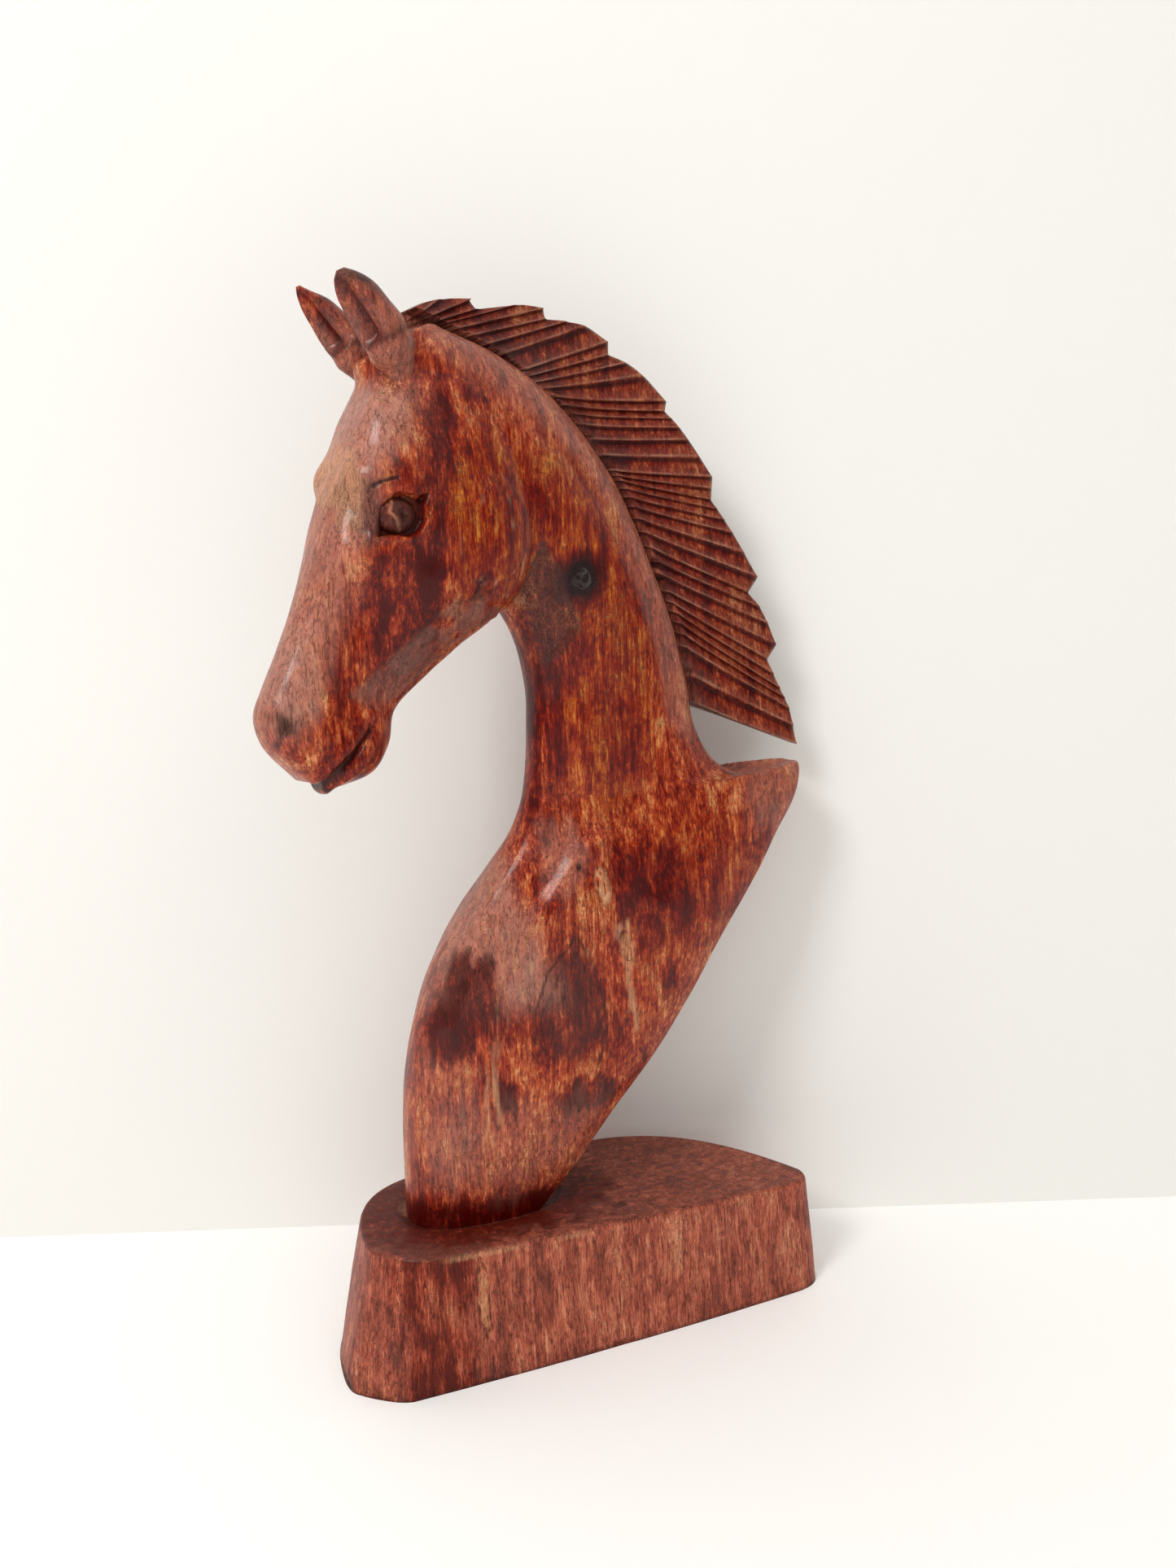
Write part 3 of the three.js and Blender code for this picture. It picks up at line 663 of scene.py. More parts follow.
def carve(points):
    """The knife work: how far each point moves along its normal, in mm, the painted shade in its cuts, and
    masks of the jaw facet and the throat hollow.
    """
    flat = points[:, [0, 2]]
    x, y, z = points.T
    side = smooth_step(3, 7, np.abs(y))
    depth = np.zeros(len(points))
    black_marks_and_shade = np.zeros(len(points))

    # shoulder ridge, the hollow before it, the chest's edge and the flank's hollow
    gap, along = to_path(flat, SHOULDER_RIDGE)
    fade = smooth_step(1, 0.5, along) * side
    depth += 1.3 * ridge(gap, 3.2) * fade
    depth -= 0.9 * ridge(to_path(flat, [(-9, 124), (-17, 112), (-22, 100)])[0], 4.5) * side
    depth += 0.8 * ridge(to_path(flat, CHEST_EDGE)[0], 3.0) * side
    depth -= 0.7 * ridge(to_path(flat, [(20, 118), (10, 104), (2, 92)])[0], 7) * side

    # shelf along the crest, where the mane leaves the neck
    crest_gap, _ = to_path(flat, CREST_LINE)
    behind = smooth_step(-1.5, 1.5, inside(flat, CREST_LINE + [(60, 150), (60, 260), (-42, 260)]))
    depth -= 0.55 * ridge(crest_gap, 2.6) * side
    depth += 0.5 * behind * side * smooth_step(140, 160, z)

    # cheek disc, throat hollow, nick and jaw facet
    cheek_gap = np.linalg.norm(flat - CHEEK_MIDDLE, axis=1)
    rear = smooth_step(-44, -28, x) * smooth_step(210, 200, z)
    edge_noise = 0.5 * lumps(points, (4, 4, 4), 13)
    depth += 1.1 * smooth_step(CHEEK_RADIUS + 0.3, CHEEK_RADIUS - 0.4, cheek_gap + edge_noise) * rear * side
    hollow = inside(flat, THROAT_HOLLOW)
    depth -= 1.1 * smooth_step(-0.4, 2.2, hollow) * smooth_step(164, 178, z) * side
    nick = smooth_step(-0.3, 0.8, inside(flat, CHEEK_NICK)) * side
    depth -= 1.0 * nick
    jaw = smooth_step(-1, 1.6, inside(flat, JAW_FACET)) * side
    depth -= 0.75 * jaw

    # hollows under and before the eye, the pit in the shoulder, brow and forehead
    depth -= 0.8 * ridge(to_path(flat, [(-60, 178), (-52, 186), (-47, 191)])[0], 5) * side
    depth -= 0.7 * ridge(to_path(flat, [(-59.5, 203), (-58.5, 197)])[0], 2.6) * side
    depth -= 1.6 * ridge(np.linalg.norm((flat - PIT) / (0.8, 1.5), axis=1), 0.8) * (y < 0)
    brow_gap = np.linalg.norm((flat - (-55.5, 208)) / (1.25, 1), axis=1)
    depth += (1.2 + 0.9 * (y > 0)) * ridge(brow_gap, 4.2) * side
    depth += 1.2 * ridge(np.linalg.norm((flat - (-51.5, 219)) / (1, 1.3), axis=1), 5.5) * side

    # brow crease, eye socket and lower lid
    crease_gap, _ = to_path(flat, BROW_CREASE)
    crease = ridge(crease_gap, 0.5) * side
    depth -= 0.55 * crease
    socket = inside(flat, EYE_OUTLINE)
    depth -= 2.6 * smooth_step(-0.1, 0.45, socket) * side
    lower_lid = smooth_step(200, 196, z)
    depth += (0.2 + 0.35 * lower_lid) * ridge(socket + 0.6, 0.5) * side

    # nostril, mouth, lips and chin
    nostril_gap = np.linalg.norm((flat - (-75.2, 157.2)) / (1, 1.3), axis=1)
    nostril = ridge(nostril_gap, 1.7) * smooth_step(2, 5, np.abs(y))
    depth -= 0.5 * nostril
    mouth_gap, mouth_along = to_path(flat, MOUTH)
    open_mouth = smooth_step(0, 0.3, mouth_along)
    lip_width = 0.45 + 0.95 * smooth_step(0.1, 0.75, mouth_along)
    mouth = ridge(mouth_gap / lip_width, 1) * smooth_step(1, 3, np.abs(y) + 6 * smooth_step(150, 144, z))
    depth -= 1.7 * mouth * (0.35 + 0.65 * open_mouth)
    depth += 0.5 * ridge(mouth_gap - 2.4, 1.3) * side
    depth += 0.8 * ridge(np.linalg.norm(flat - (-57, 149.5), axis=1), 4.5) * side
    depth += 1.3 * ridge(np.linalg.norm(flat - (-66, 142.4), axis=1), 1.6)

    # unevenness of hand work, then painted shade in the cuts: the brow crease, mouth, nostril, nick, eye
    # socket and shoulder pit, and a little at the lip tip
    depth += 0.16 * lumps(points, (9, 9, 12), 11) + 0.07 * lumps(points, (3.2, 3.2, 6), 12)
    black_marks_and_shade += 0.9 * smooth_step(0.2, 1.0, crease) + 0.75 * smooth_step(0.35, 0.9, mouth)
    black_marks_and_shade += 0.25 * smooth_step(0.1, 0.9, nostril) + 0.7 * nick
    black_marks_and_shade += 0.7 * smooth_step(-0.1, 0.5, socket) * side
    black_marks_and_shade += 0.15 * ridge(np.linalg.norm(flat - (-66.5, 142.4), axis=1), 1.8)
    black_marks_and_shade += 0.95 * ridge(np.linalg.norm((flat - PIT) / (0.8, 1.5), axis=1), 0.8) * (y < 0)
    return depth, black_marks_and_shade, jaw, smooth_step(-0.8, 0.8, hollow) * side


def patch(flat, centre, half, soft=1.0):
    """A soft oval mask in side view."""
    gap = np.linalg.norm((flat - centre) / half, axis=1)
    return smooth_step(1 + 0.5 * soft, 1 - 0.5 * soft, gap)


KNOT_CENTRE = (-3.4, 186.1)
HEAD_ZONE = [(-85, 138), (-50, 138), (-19.5, 178.5), (-17, 200), (-22, 240), (-60, 245)]
CREST_SHEEN_LINE = [(-34, 237), (-18, 228), (0.5, 218), (13, 204), (20, 190), (26, 172), (30, 152)]
PALE_STREAK = [(4.2, 103), (8.8, 103), (10.5, 92), (9.5, 72), (7, 76), (6, 92)]
AMBER_ZONE = [(-24, 97), (-17, 103), (-15.4, 86), (-19, 81), (-28, 75), (-33, 66), (-27, 70), (-25.5, 88)]
DARK_CHEST = [(-33, 100), (-26, 97), (-24.4, 88), (-27, 83), (-31.5, 75), (-39, 72), (-41.5, 81), (-37.5, 92)]
DARK_OVAL = [(-6.2, 101), (-1.8, 94), (1.5, 85), (-0.5, 76), (-6, 70), (-12.6, 73), (-15, 86), (-12, 95)]
CATHEDRAL = [(-17, 76), (-16.5, 85), (-13, 94), (-6.2, 102), (-2.4, 96.3), (-0.7, 90), (1.8, 79), (-1, 68)]


def inside_soft(side_view, outline, soft):
    return smooth_step(-soft / 2, soft / 2, inside(side_view, outline))


def paint_bust(mesh, points, black_marks_and_shade, jaw, hollow):
    """Where the stain took dark or light, where a pale sheen and highlights are painted, where it is worn,
    and where shade is painted into hollows.
    """
    flat = points[:, [0, 2]]
    x, y, z = points.T
    wobble = 1.6 * lumps(points, (3, 3, 16), 21)
    side = smooth_step(2, 8, np.abs(y))
    head = inside_soft(flat, HEAD_ZONE, 4)
    crest_gap, _ = to_path(flat, CREST_SHEEN_LINE)
    crest = smooth_step(8.5, 2.5, crest_gap)
    face_gap, _ = to_path(flat, [(-50, 228), (-58.2, 212.5), (-64.7, 194), (-70.4, 177.5), (-77, 162)])
    bridge = smooth_step(11, 3, face_gap + wobble) * head
    torn = flat + np.column_stack([
        1.3 * lumps(points, (2.2, 3, 7), 27) + 0.7 * lumps(points, (0.9, 2, 3.5), 28),
        2.6 * lumps(points, (2.2, 3, 7), 29) + 1.6 * lumps(points, (0.9, 2, 4), 30)])
    near = smooth_step(2, -2, y)
    knot_gap = np.linalg.norm((torn * 0.35 + flat * 0.65 - KNOT_CENTRE) / (1.15, 0.95), axis=1)

    # amber wood, where the stain is thin
    cheek_line = -40.8 + 3.2 * smooth_step(198, 216, z)
    glow = 1.0 * patch(torn, (-29, 197), (13.5, 20), 0.4) * smooth_step(-1.2, 1.0, torn[:, 0] - cheek_line)
    glow += 0.85 * patch(torn, (-5, 200), (18, 19), 0.6) * (1 - crest)
    glow += 0.95 * patch(torn, (5, 160), (16, 30), 0.6) + 0.8 * patch(torn, (-53, 207.5), (5, 3), 0.6)
    glow += 0.6 * patch(torn, (26, 112), (24, 18), 0.7)
    glow += 0.9 * inside_soft(torn, AMBER_ZONE, 3) + 0.4 * patch(torn, (-64, 168), (4, 12), 0.6)

    # wood that took more stain
    stain = 0.7 * band(torn[:, 0] - cheek_line, -5.4, -0.3, 1.8) * band(z, 172, 226, 6) * head
    stain += 0.5 * patch(torn, (-50, 180), (9, 13), 0.6) + 0.5 * patch(torn, (-62, 150), (7, 6), 0.7)
    # the nostril and the hollow before the eye are painted darker as shade
    stain += 0.9 * patch(torn, (-75, 156.2), (2.6, 3.4), 0.5) + 0.5 * patch(torn, (-57, 201), (3.6, 6), 0.6)
    stain += 0.5 * band(torn[:, 0], -15, -8, 2) * band(z, 124, 174, 5)
    stain += 0.6 * patch(torn, (15, 110), (12, 12), 0.8) * side
    stain += (0.3 + 0.7 * near) * inside_soft(torn, DARK_CHEST, 4)
    stain += 0.35 * inside_soft(torn, DARK_OVAL, 5) * near
    stain += 0.9 * patch(torn, (-4, 61), (9, 4.5), 0.5) + 0.7 * patch(torn, (-23.5, 64), (3, 5), 0.5)
    stain += 0.9 * smooth_step(40, 35.5, z + 0.4 * torn[:, 0] - 0.4 * x)
    stain += 0.9 * smooth_step(8.5, 5, knot_gap) * near

    # painted sheen: pale pink highlights of the varnish along the crest, down the bridge of the face, on the
    # muzzle, temple, shoulder, withers and lower bust, and over the left-facing chest front
    haze_and_sheen = 0.5 * crest + 0.75 * bridge * smooth_step(232, 222, z)
    haze_and_sheen += 0.6 * patch(torn, (-73, 168), (7, 9), 0.9) + 0.45 * patch(torn, (-52, 219), (6, 8), 0.7)
    haze_and_sheen += 0.85 * smooth_step(-17, -24, x + wobble + 0.35 * (z - 118)) * band(z, 86, 134, 5) * (z < 140)
    haze_and_sheen += 0.35 * patch(torn, (-38, 62), (7, 18), 0.8)
    haze_and_sheen += 0.5 * patch(torn, (54, 130), (12, 9), 0.9) + 0.35 * patch(torn, (-18, 50), (26, 12), 0.9)
    haze_and_sheen += 0.5 * patch(torn, (-9, 121), (5, 9), 0.7) * near

    # pale flecks and worn stretches, and a pale strip down the front of the forehead
    flecks = smooth_step(0.1, 0.6, lumps(points, (0.8, 1.3, 6), 22))
    worn = 0.8 * flecks * inside_soft(torn, PALE_STREAK, 1.5)
    worn += 0.7 * flecks * patch(torn, (-27.2, 60), (2.6, 12), 0.6)
    worn += 0.55 * flecks * inside_soft(torn, AMBER_ZONE, 4)
    chips = smooth_step(0.45, 0.8, lumps(points, (0.7, 0.9, 5), 24))
    worn += 0.8 * chips * patch(flat, (-28, 192), (9, 11), 0.9)
    worn += 0.6 * patch(torn, (-59.5, 208), (2.5, 14), 0.6)

    # near-black: the knot's ring, torn pits and the lines of a growth-ring arch, and painted shade in the
    # nostril
    black_marks_and_shade = black_marks_and_shade + (0.8 * smooth_step(5.6, 3.4, knot_gap) + 0.25 * smooth_step(8.5, 5, knot_gap)) * near
    pits = smooth_step(0.45, 0.8, lumps(points, (1.2, 1.2, 3.5), 25))
    black_marks_and_shade += 0.6 * pits * patch(torn, (-2, 90), (14, 16), 0.9)
    black_marks_and_shade += 0.45 * patch(torn, (-75.2, 156), (2.1, 2.9), 0.7)
    blots = smooth_step(0.2, 0.7, lumps(points, (2, 2, 4), 33))
    black_marks_and_shade += 0.5 * blots * inside_soft(torn, DARK_CHEST, 2) * near
    cathedral = to_path(flat + 0.25 * (torn - flat), CATHEDRAL)[0]
    black_marks_and_shade += 0.75 * ridge(cathedral, 0.35) * near + 0.3 * ridge(cathedral - 2.2, 0.3) * near

    # the jaw facet gets a painted grey-pink sheen; the throat hollow and the hollow before the eye are
    # painted grey-dark as shade
    soft_jaw = jaw * smooth_step(-0.9, 0.1, lumps(points, (3, 3, 3), 26))
    haze_and_sheen = haze_and_sheen * (1 - 0.85 * inside_soft(torn, DARK_CHEST, 4))
    wear_layer(mesh, "glow", glow * (1 - 0.5 * bridge))
    wear_layer(mesh, "stain", stain)
    wear_layer(mesh, "haze_and_sheen", haze_and_sheen + 0.6 * soft_jaw)
    grey = 0.5 * soft_jaw + 0.95 * hollow + 0.6 * patch(torn, (-57.5, 200), (3.8, 6.5), 0.6)
    grey += 0.35 * inside_soft(torn, DARK_OVAL, 5) * near + 0.2 * patch(torn, (-43.5, 214), (4, 12), 0.8)
    wear_layer(mesh, "grey", grey)
    wear_layer(mesh, "worn", worn)
    wear_layer(mesh, "black_marks_and_shade", black_marks_and_shade)


def back_of_cut(z):
    """How far back the saw cut stands at each height."""
    line = curve_through(BACK_CUT, 60)[::-1]
    slope = (line[-1, 0] - line[-2, 0]) / (line[-1, 1] - line[-2, 1])
    inner = np.interp(z, line[:, 1], line[:, 0])
    return np.where(z > line[-1, 1], line[-1, 0] + (z - line[-1, 1]) * slope, inner)


def with_edges(faces):
    """The faces of a mesh being worked on, with their corners and edges."""
    parts = [v for f in faces for v in f.verts] + [e for f in faces for e in f.edges] + list(faces)
    return list(dict.fromkeys(parts))


def saw_back(mesh):
    """Saws everything behind the back cut away and closes the cut with a flat, even face."""
    points = read_points(mesh)
    points[:, 0] -= back_of_cut(points[:, 2])
    write_points(mesh, points)
    work = bmesh.new()
    work.from_mesh(mesh)
    bmesh.ops.bisect_plane(work, geom=work.verts[:] + work.edges[:] + work.faces[:], dist=1e-4,
                           plane_co=(0, 0, 0), plane_no=(1, 0, 0), clear_outer=True)
    rim = [e for e in work.edges if e.is_boundary]
    bmesh.ops.contextual_create(work, geom=rim)
    for edge in rim:
        edge.smooth = False
    for height in np.arange(31, 140, CUT_BAND):
        cap = [f for f in work.faces if f.normal.x > 0.999 and all(abs(v.co.x) < 1e-3 for v in f.verts)]
        bmesh.ops.bisect_plane(work, geom=with_edges(cap), dist=1e-4,
                               plane_co=(0, 0, height), plane_no=(0, 0, 1))
    bmesh.ops.triangulate(work, faces=[f for f in work.faces if len(f.verts) > 4])
    work.to_mesh(mesh)
    work.free()
    points = read_points(mesh)
    points[:, 0] += back_of_cut(points[:, 2])
    write_points(mesh, points)


def cut_foot(mesh):
    """Saws the foot off flush in the groove of the base's top."""
    work = bmesh.new()
    work.from_mesh(mesh)
    low = [f for f in work.faces if f.calc_center_median().z < 40]
    around = with_edges(low)
    at = Vector((0, 0, float(base_top(0)) - FOOT_SINK))
    bmesh.ops.bisect_plane(work, geom=around, dist=1e-4, plane_co=at,
                           plane_no=(BASE_TOP_SLOPE, 0, 1), clear_inner=True)
    rim = [e for e in work.edges if e.is_boundary]
    for edge in rim:
        edge.smooth = False
    bmesh.ops.contextual_create(work, geom=rim)
    bmesh.ops.triangulate(work, faces=[f for f in work.faces if len(f.verts) > 4])
    work.to_mesh(mesh)
    work.free()


def split_head(mesh):
    """Parts the head from the neck on the plane from throat to poll; both stay closed."""
    (x0, z0), (x1, z1) = HEAD_CUT
    across = Vector((z1 - z0, 0, x0 - x1)).normalized()
    at = Vector((x0, 0, z0))
    halves = []
    for keep_head in (True, False):
        work = bmesh.new()
        work.from_mesh(mesh)
        near = [f for f in work.faces if f.calc_center_median().z > 165
                and abs((f.calc_center_median() - at).dot(across)) < 3]
        bmesh.ops.bisect_plane(work, geom=with_edges(near), dist=1e-4, plane_co=at, plane_no=across)
        doomed = []
        for face in work.faces:
            c = face.calc_center_median()
            ahead = (c - at).dot(across) < 0
            is_head = ahead and (c.z > 158 or (c.z > 128 and c.x < -35))
            if is_head != keep_head:
                doomed.append(face)
        bmesh.ops.delete(work, geom=doomed, context="FACES")
        rim = [e for e in work.edges if e.is_boundary]
        for edge in rim:
            edge.smooth = False
        bmesh.ops.contextual_create(work, geom=rim)
        bmesh.ops.triangulate(work, faces=[f for f in work.faces if len(f.verts) > 4])
        half = bpy.data.meshes.new("half")
        work.to_mesh(half)
        work.free()
        halves.append(half)
    return halves


def turn_head(points):
    """Turns the head and upper neck about an upright axis, as the carver set them."""
    x, y, z = np.asarray(points, float).T
    angle = TURN_ANGLE * smooth_step(-30, 15, -x) * smooth_step(90, 145, z)
    back = x - TURN_AXIS_X
    return np.column_stack([TURN_AXIS_X + back * np.cos(angle) - y * np.sin(angle),
                            back * np.sin(angle) + y * np.cos(angle), z])


bust = joined_and_remeshed([skin(carved_rings(NECK_STATIONS, NECK_ROWS, SECTION_STEPS)),
                            skin(carved_rings(HEAD_STATIONS, HEAD_ROWS, SECTION_STEPS))], REMESH_STEP)


def fine_work(points):
    """Eye sockets, brow crease, mouth and the rear edge of the cheek."""
    flat = points[:, [0, 2]]
    cheek_gap = np.linalg.norm(flat - CHEEK_MIDDLE, axis=1)
    cheek_edge = (np.abs(cheek_gap - CHEEK_RADIUS) < 1.6) & (flat[:, 0] > -38) & (flat[:, 1] < 212)
    eye = np.linalg.norm(flat - EYE_CENTRE, axis=1) < 9.5
    return (eye | cheek_edge | (to_path(flat, MOUTH)[0] < 3.2)) & (np.abs(points[:, 1]) > 2)


closer_mesh(bust, fine_work)
bust_points = read_points(bust)
tip = smooth_step(45, 58, bust_points[:, 0]) * smooth_step(115, 126, bust_points[:, 2])
bust_points = relax(bust, bust_points, 5, 1 - 0.8 * tip)
write_points(bust, bust_points)
depth, black_marks_and_shade, jaw, hollow = carve(bust_points)
bust_points = bust_points + read_normals(bust) * depth[:, None]
bust_points = relax(bust, bust_points, 1)
write_points(bust, bust_points)
paint_bust(bust, bust_points, black_marks_and_shade, jaw, hollow)
bust_skin = BVHTree.FromPolygons(bust_points.tolist(), [list(p.vertices) for p in bust.polygons])
saw_back(bust)
cut_foot(bust)
head_mesh, neck_mesh = split_head(bust)
for half in (head_mesh, neck_mesh):
    write_points(half, place(turn_head(read_points(half))))
BUST_STAIN = [(0.08, "#480200"), (0.3, "#781504"), (0.5, "#a03616"), (0.7, "#c45e32"), (0.95, "#e69c64")]
bust_finish = stained_wood("stained_varnished_hardwood", BUST_STAIN, 0.22, 0.36)
add_piece("neck_chest_carved", neck_mesh, bust_finish, ["neck_chest"])
add_piece("head_carved", head_mesh, bust_finish, ["head"])
bpy.data.meshes.remove(bust)

# ---- the ears -------------------------------------------------------------------------------
# Carved from the same wood: two leaning leaves with a hollow scooped out of the front, a thin
# rim and a heavier collar where each meets the poll. The hollows and the collar crease are painted
# darker as shade, the outer faces get a painted sheen, and the left tip is paler and grey.
EAR_STATIONS = [  # x, y, z of the middle, then half length and half width of the left ear, of the right
    (-43.5, 7.2, 226, 3.2, 2.4, 3.2, 2.4), (-45.4, 8, 230.5, 3.5, 2.2, 3.4, 2.2),
    (-47.4, 8.8, 234, 5.4, 3.6, 5.0, 3.4), (-48.6, 9.1, 235.8, 5.2, 3.7, 4.8, 3.4),
    (-50.2, 9.5, 238, 5.4, 3.9, 4.9, 3.5), (-53, 10, 241.5, 5.0, 3.6, 4.2, 3.1),
    (-56, 10.5, 244.9, 4.3, 3.0, 3.1, 2.4), (-58.2, 10.9, 247, 2.6, 2, 1.5, 1.2),
    (-59.2, 11, 248.2, 0.9, 0.8, 0.5, 0.5)]
EAR_LEAN = math.radians(28)
EAR_ROWS = 110
EAR_STEPS = 84


def ear_rings(side, facing, scoop):
    table = curve_through(EAR_STATIONS, EAR_ROWS)
    angle = 2 * np.pi * np.arange(EAR_STEPS) / EAR_STEPS
    across = np.array([math.cos(EAR_LEAN), 0, math.sin(EAR_LEAN)])
    off = np.angle(np.exp(1j * (angle - facing)))
    rings = []
    for k, (x, y, z, *halves) in enumerate(table):
        half_length, half_width = halves[2:] if side > 0 else halves[:2]
        up = k / (EAR_ROWS - 1)
        open_here = smooth_step(0.36, 0.52, up) * smooth_step(0.98, 0.8, up)
        chord = (1 - scoop * open_here) / np.maximum(np.cos(off), 1e-3)
        pared = np.where(np.cos(off) > 0, np.minimum(1, chord), 1)
        radius = pared - 0.35 * scoop * open_here * np.exp(-(off / 0.5) ** 2)
        ring = np.array([x, y, z]) + across * (half_length * radius * np.cos(angle))[:, None]
        ring[:, 1] += half_width * radius * np.sin(angle)
        ring[:, 1] *= side
        ring[:, 2] += side
        rings.append(ring)
    return rings


def make_ear(name, node, side, facing, scoop):
    points, faces = skin(ear_rings(side, math.radians(facing), scoop))
    mesh = new_mesh(name, points, faces)
    face_out(mesh)
    points = points + read_normals(mesh) * (0.12 * lumps(points, (3, 3, 5), 31))[:, None]
    height = points[:, 2]
    rings = np.repeat(np.arange(EAR_ROWS), EAR_STEPS)
    around = np.tile(np.arange(EAR_STEPS), EAR_ROWS) / EAR_STEPS * 2 * np.pi
    off = np.angle(np.exp(1j * (around - math.radians(facing))))
    up = rings / (EAR_ROWS - 1)
    cup = np.exp(-(off / 0.6) ** 2) * smooth_step(0.34, 0.5, up) * smooth_step(0.98, 0.85, up)
    cup = np.concatenate([cup, [0, 0]])
    # painted light: the scooped hollow is painted darker and greyer as shade, more on the left ear, the outer
    # faces below the tip get a painted sheen, and the collar crease is painted dark as shade
    wear_layer(mesh, "glow", 0.25 * cup)
    wear_layer(mesh, "stain", 0.3 * cup + 0.25)
    pale_tip = smooth_step(243.5, 245.5, height + (points[:, 0] + 57) * 0.3) * (side < 0)
    wear_layer(mesh, "haze_and_sheen", 0.6 * (1 - cup) * smooth_step(250, 236, height) + 0.3 * pale_tip)
    wear_layer(mesh, "grey", 0.8 * pale_tip + (0.6 if side < 0 else 0.1) * cup)
    wear_layer(mesh, "worn", np.zeros(len(points)))
    collar = np.concatenate([smooth_step(0.36, 0.42, up) * smooth_step(0.5, 0.42, up), [0, 0]])
    bruise = smooth_step(0.75, 1.2, lumps(points, (2, 2, 3), 32) + ridge(height - 246.5, 2.5))
    wear_layer(mesh, "black_marks_and_shade", 0.55 * collar + 0.5 * bruise)
    write_points(mesh, place(turn_head(points)))
    add_piece(name, mesh, bust_finish, [node])


make_ear("ear_left_carved", "ear_left", -1, 150, 0.5)
make_ear("ear_right_carved", "ear_right", 1, 215, 0.62)

# ---- the eyes -------------------------------------------------------------------------------
# Not set in but cut: a low dome left standing in each socket, with a knife ridge down its
# front and a small drilled pupil. The dome is painted dark and grey, darker still at its rim, in the
# pupil and towards its rear as painted shade, with a painted highlight along the knife ridge.
EYE_RADII = (4.9, 2.7, 3.9)
EYE_OUT = 11.5


def make_eye(name, node, side):
    rows, steps = 60, 96
    rings = []
    for k in range(1, rows):
        polar = math.pi * k / rows
        angle = 2 * np.pi * np.arange(steps) / steps
        out = math.cos(polar)
        rings.append(np.column_stack([math.sin(polar) * np.cos(angle), np.full(steps, out),
                                      math.sin(polar) * np.sin(angle)]))
    points, faces = skin(rings)
    points = points * EYE_RADII
    x, out, z = points.T
    outer = smooth_step(0, 1.2, out)
    pupil = ridge(np.hypot(x - 0.9, (z + 0.1) * 0.8), 0.95)
    knife = ridge(to_path(points[:, [0, 2]], [(-1.6, 3.1), (-2.4, 0.5), (-1, -0.8), (-0.2, -3.1)])[0], 0.42)
    lid = ridge(to_path(points[:, [0, 2]], [(-3.6, 1.5), (-1, 2.6), (2.6, 1.9)])[0], 0.5)
    out = out + outer * (0.3 * knife - 0.6 * pupil + 0.15 * lid)
    points = np.column_stack([x + EYE_CENTRE[0], side * (out + EYE_OUT), z + EYE_CENTRE[1]])
    mesh = new_mesh(name, points, faces)
    face_out(mesh)
    # painted light: the knife ridge is painted pale as a highlight, and the rim, the pupil and the rear of
    # the dome are painted dark as shade
    wear_layer(mesh, "glow", np.zeros(len(points)))
    wear_layer(mesh, "stain", 0.75 - 0.5 * knife)
    wear_layer(mesh, "haze_and_sheen", 0.1 + 0.6 * knife)
    wear_layer(mesh, "grey", 0.75 * (1 - knife))
    wear_layer(mesh, "worn", 0.3 * knife)
    rim = smooth_step(3, 4.6, np.hypot(x, z * 1.1))
    wear_layer(mesh, "black_marks_and_shade", 0.5 * pupil + 0.7 * rim + 0.2 * smooth_step(0.6, 2.2, x))
    write_points(mesh, place(turn_head(points)))
    add_piece(name, mesh, bust_finish, [node])


make_eye("eye_left_cut", "eye_left", -1)
make_eye("eye_right_cut", "eye_right", 1)

# ---- the mane -------------------------------------------------------------------------------
# A thin comb left standing on the crest. Its rim is cut into eight saw teeth, and V-tool cuts
# run across both faces from the crest to the rim, so each lock ends in a sharp ridge, painted pale
# as a highlight, with the valleys between locks painted dark as shade.
MANE_TEETH = [  # each tooth's rim from notch to tip, its roots, its locks, and the locks in the step behind
    ([(-41.5, 242.6), (-36, 245.5), (-29.7, 247.2), (-24.4, 247.8)],
     [(-45, 237.8), (-44.6, 238.3), (-43.8, 238.8), (-42.6, 239.2)], 2, 1),
    ([(-23.5, 245.7), (-15.6, 247.3), (-10, 248.4), (-4.3, 248.4)],
     [(-41.5, 238.8), (-40, 239), (-38.5, 238.9), (-36.5, 238.4)], 2, 1),
    ([(-4, 246.1), (2.2, 246.3), (7.6, 245.8), (13.8, 242.7)],
     [(-33, 237.3), (-27, 236.3), (-21.5, 235), (-12.5, 233.3)], 3, 1),
    ([(13.7, 239.7), (18.5, 238.1), (22.8, 235.4), (29, 229.5)],
     [(-10, 232.5), (-8, 231.3), (-6, 230), (-4, 228.3)], 3, 1),
    ([(28.5, 227.1), (31.8, 224.1), (35.8, 219.3), (41.5, 211.4)],
     [(-2.5, 226.6), (2, 223.5), (10, 218.3), (17, 212)], 5, 2),
    ([(41, 205.8), (44.1, 201.8), (48, 196.3), (54.3, 186.3)],
     [(19, 209.3), (21, 206), (22.8, 202), (25.2, 196.3)], 5, 1),
    ([(51.4, 182.4), (54.9, 178.5), (57.3, 174.2), (59.7, 168.6)],
     [(26.2, 192.5), (27, 189.5), (28.4, 186), (29.5, 182)], 3, 1),
    ([(56.9, 164.9), (60.8, 157), (63.5, 151.5), (65.6, 141.7)],
     [(30, 179.3), (32.3, 174), (33.8, 168), (34.8, 154)], 6, 0)]
MANE_COLUMNS_PER_LOCK = 16
MANE_ROWS = 44
MANE_RIM_HALF = 1.35
MANE_FLARE = 6.1       # extra half thickness where the comb leaves the crest
MANE_FLARE_REACH = 7.0
MANE_LEAVES_CREST = -4.0


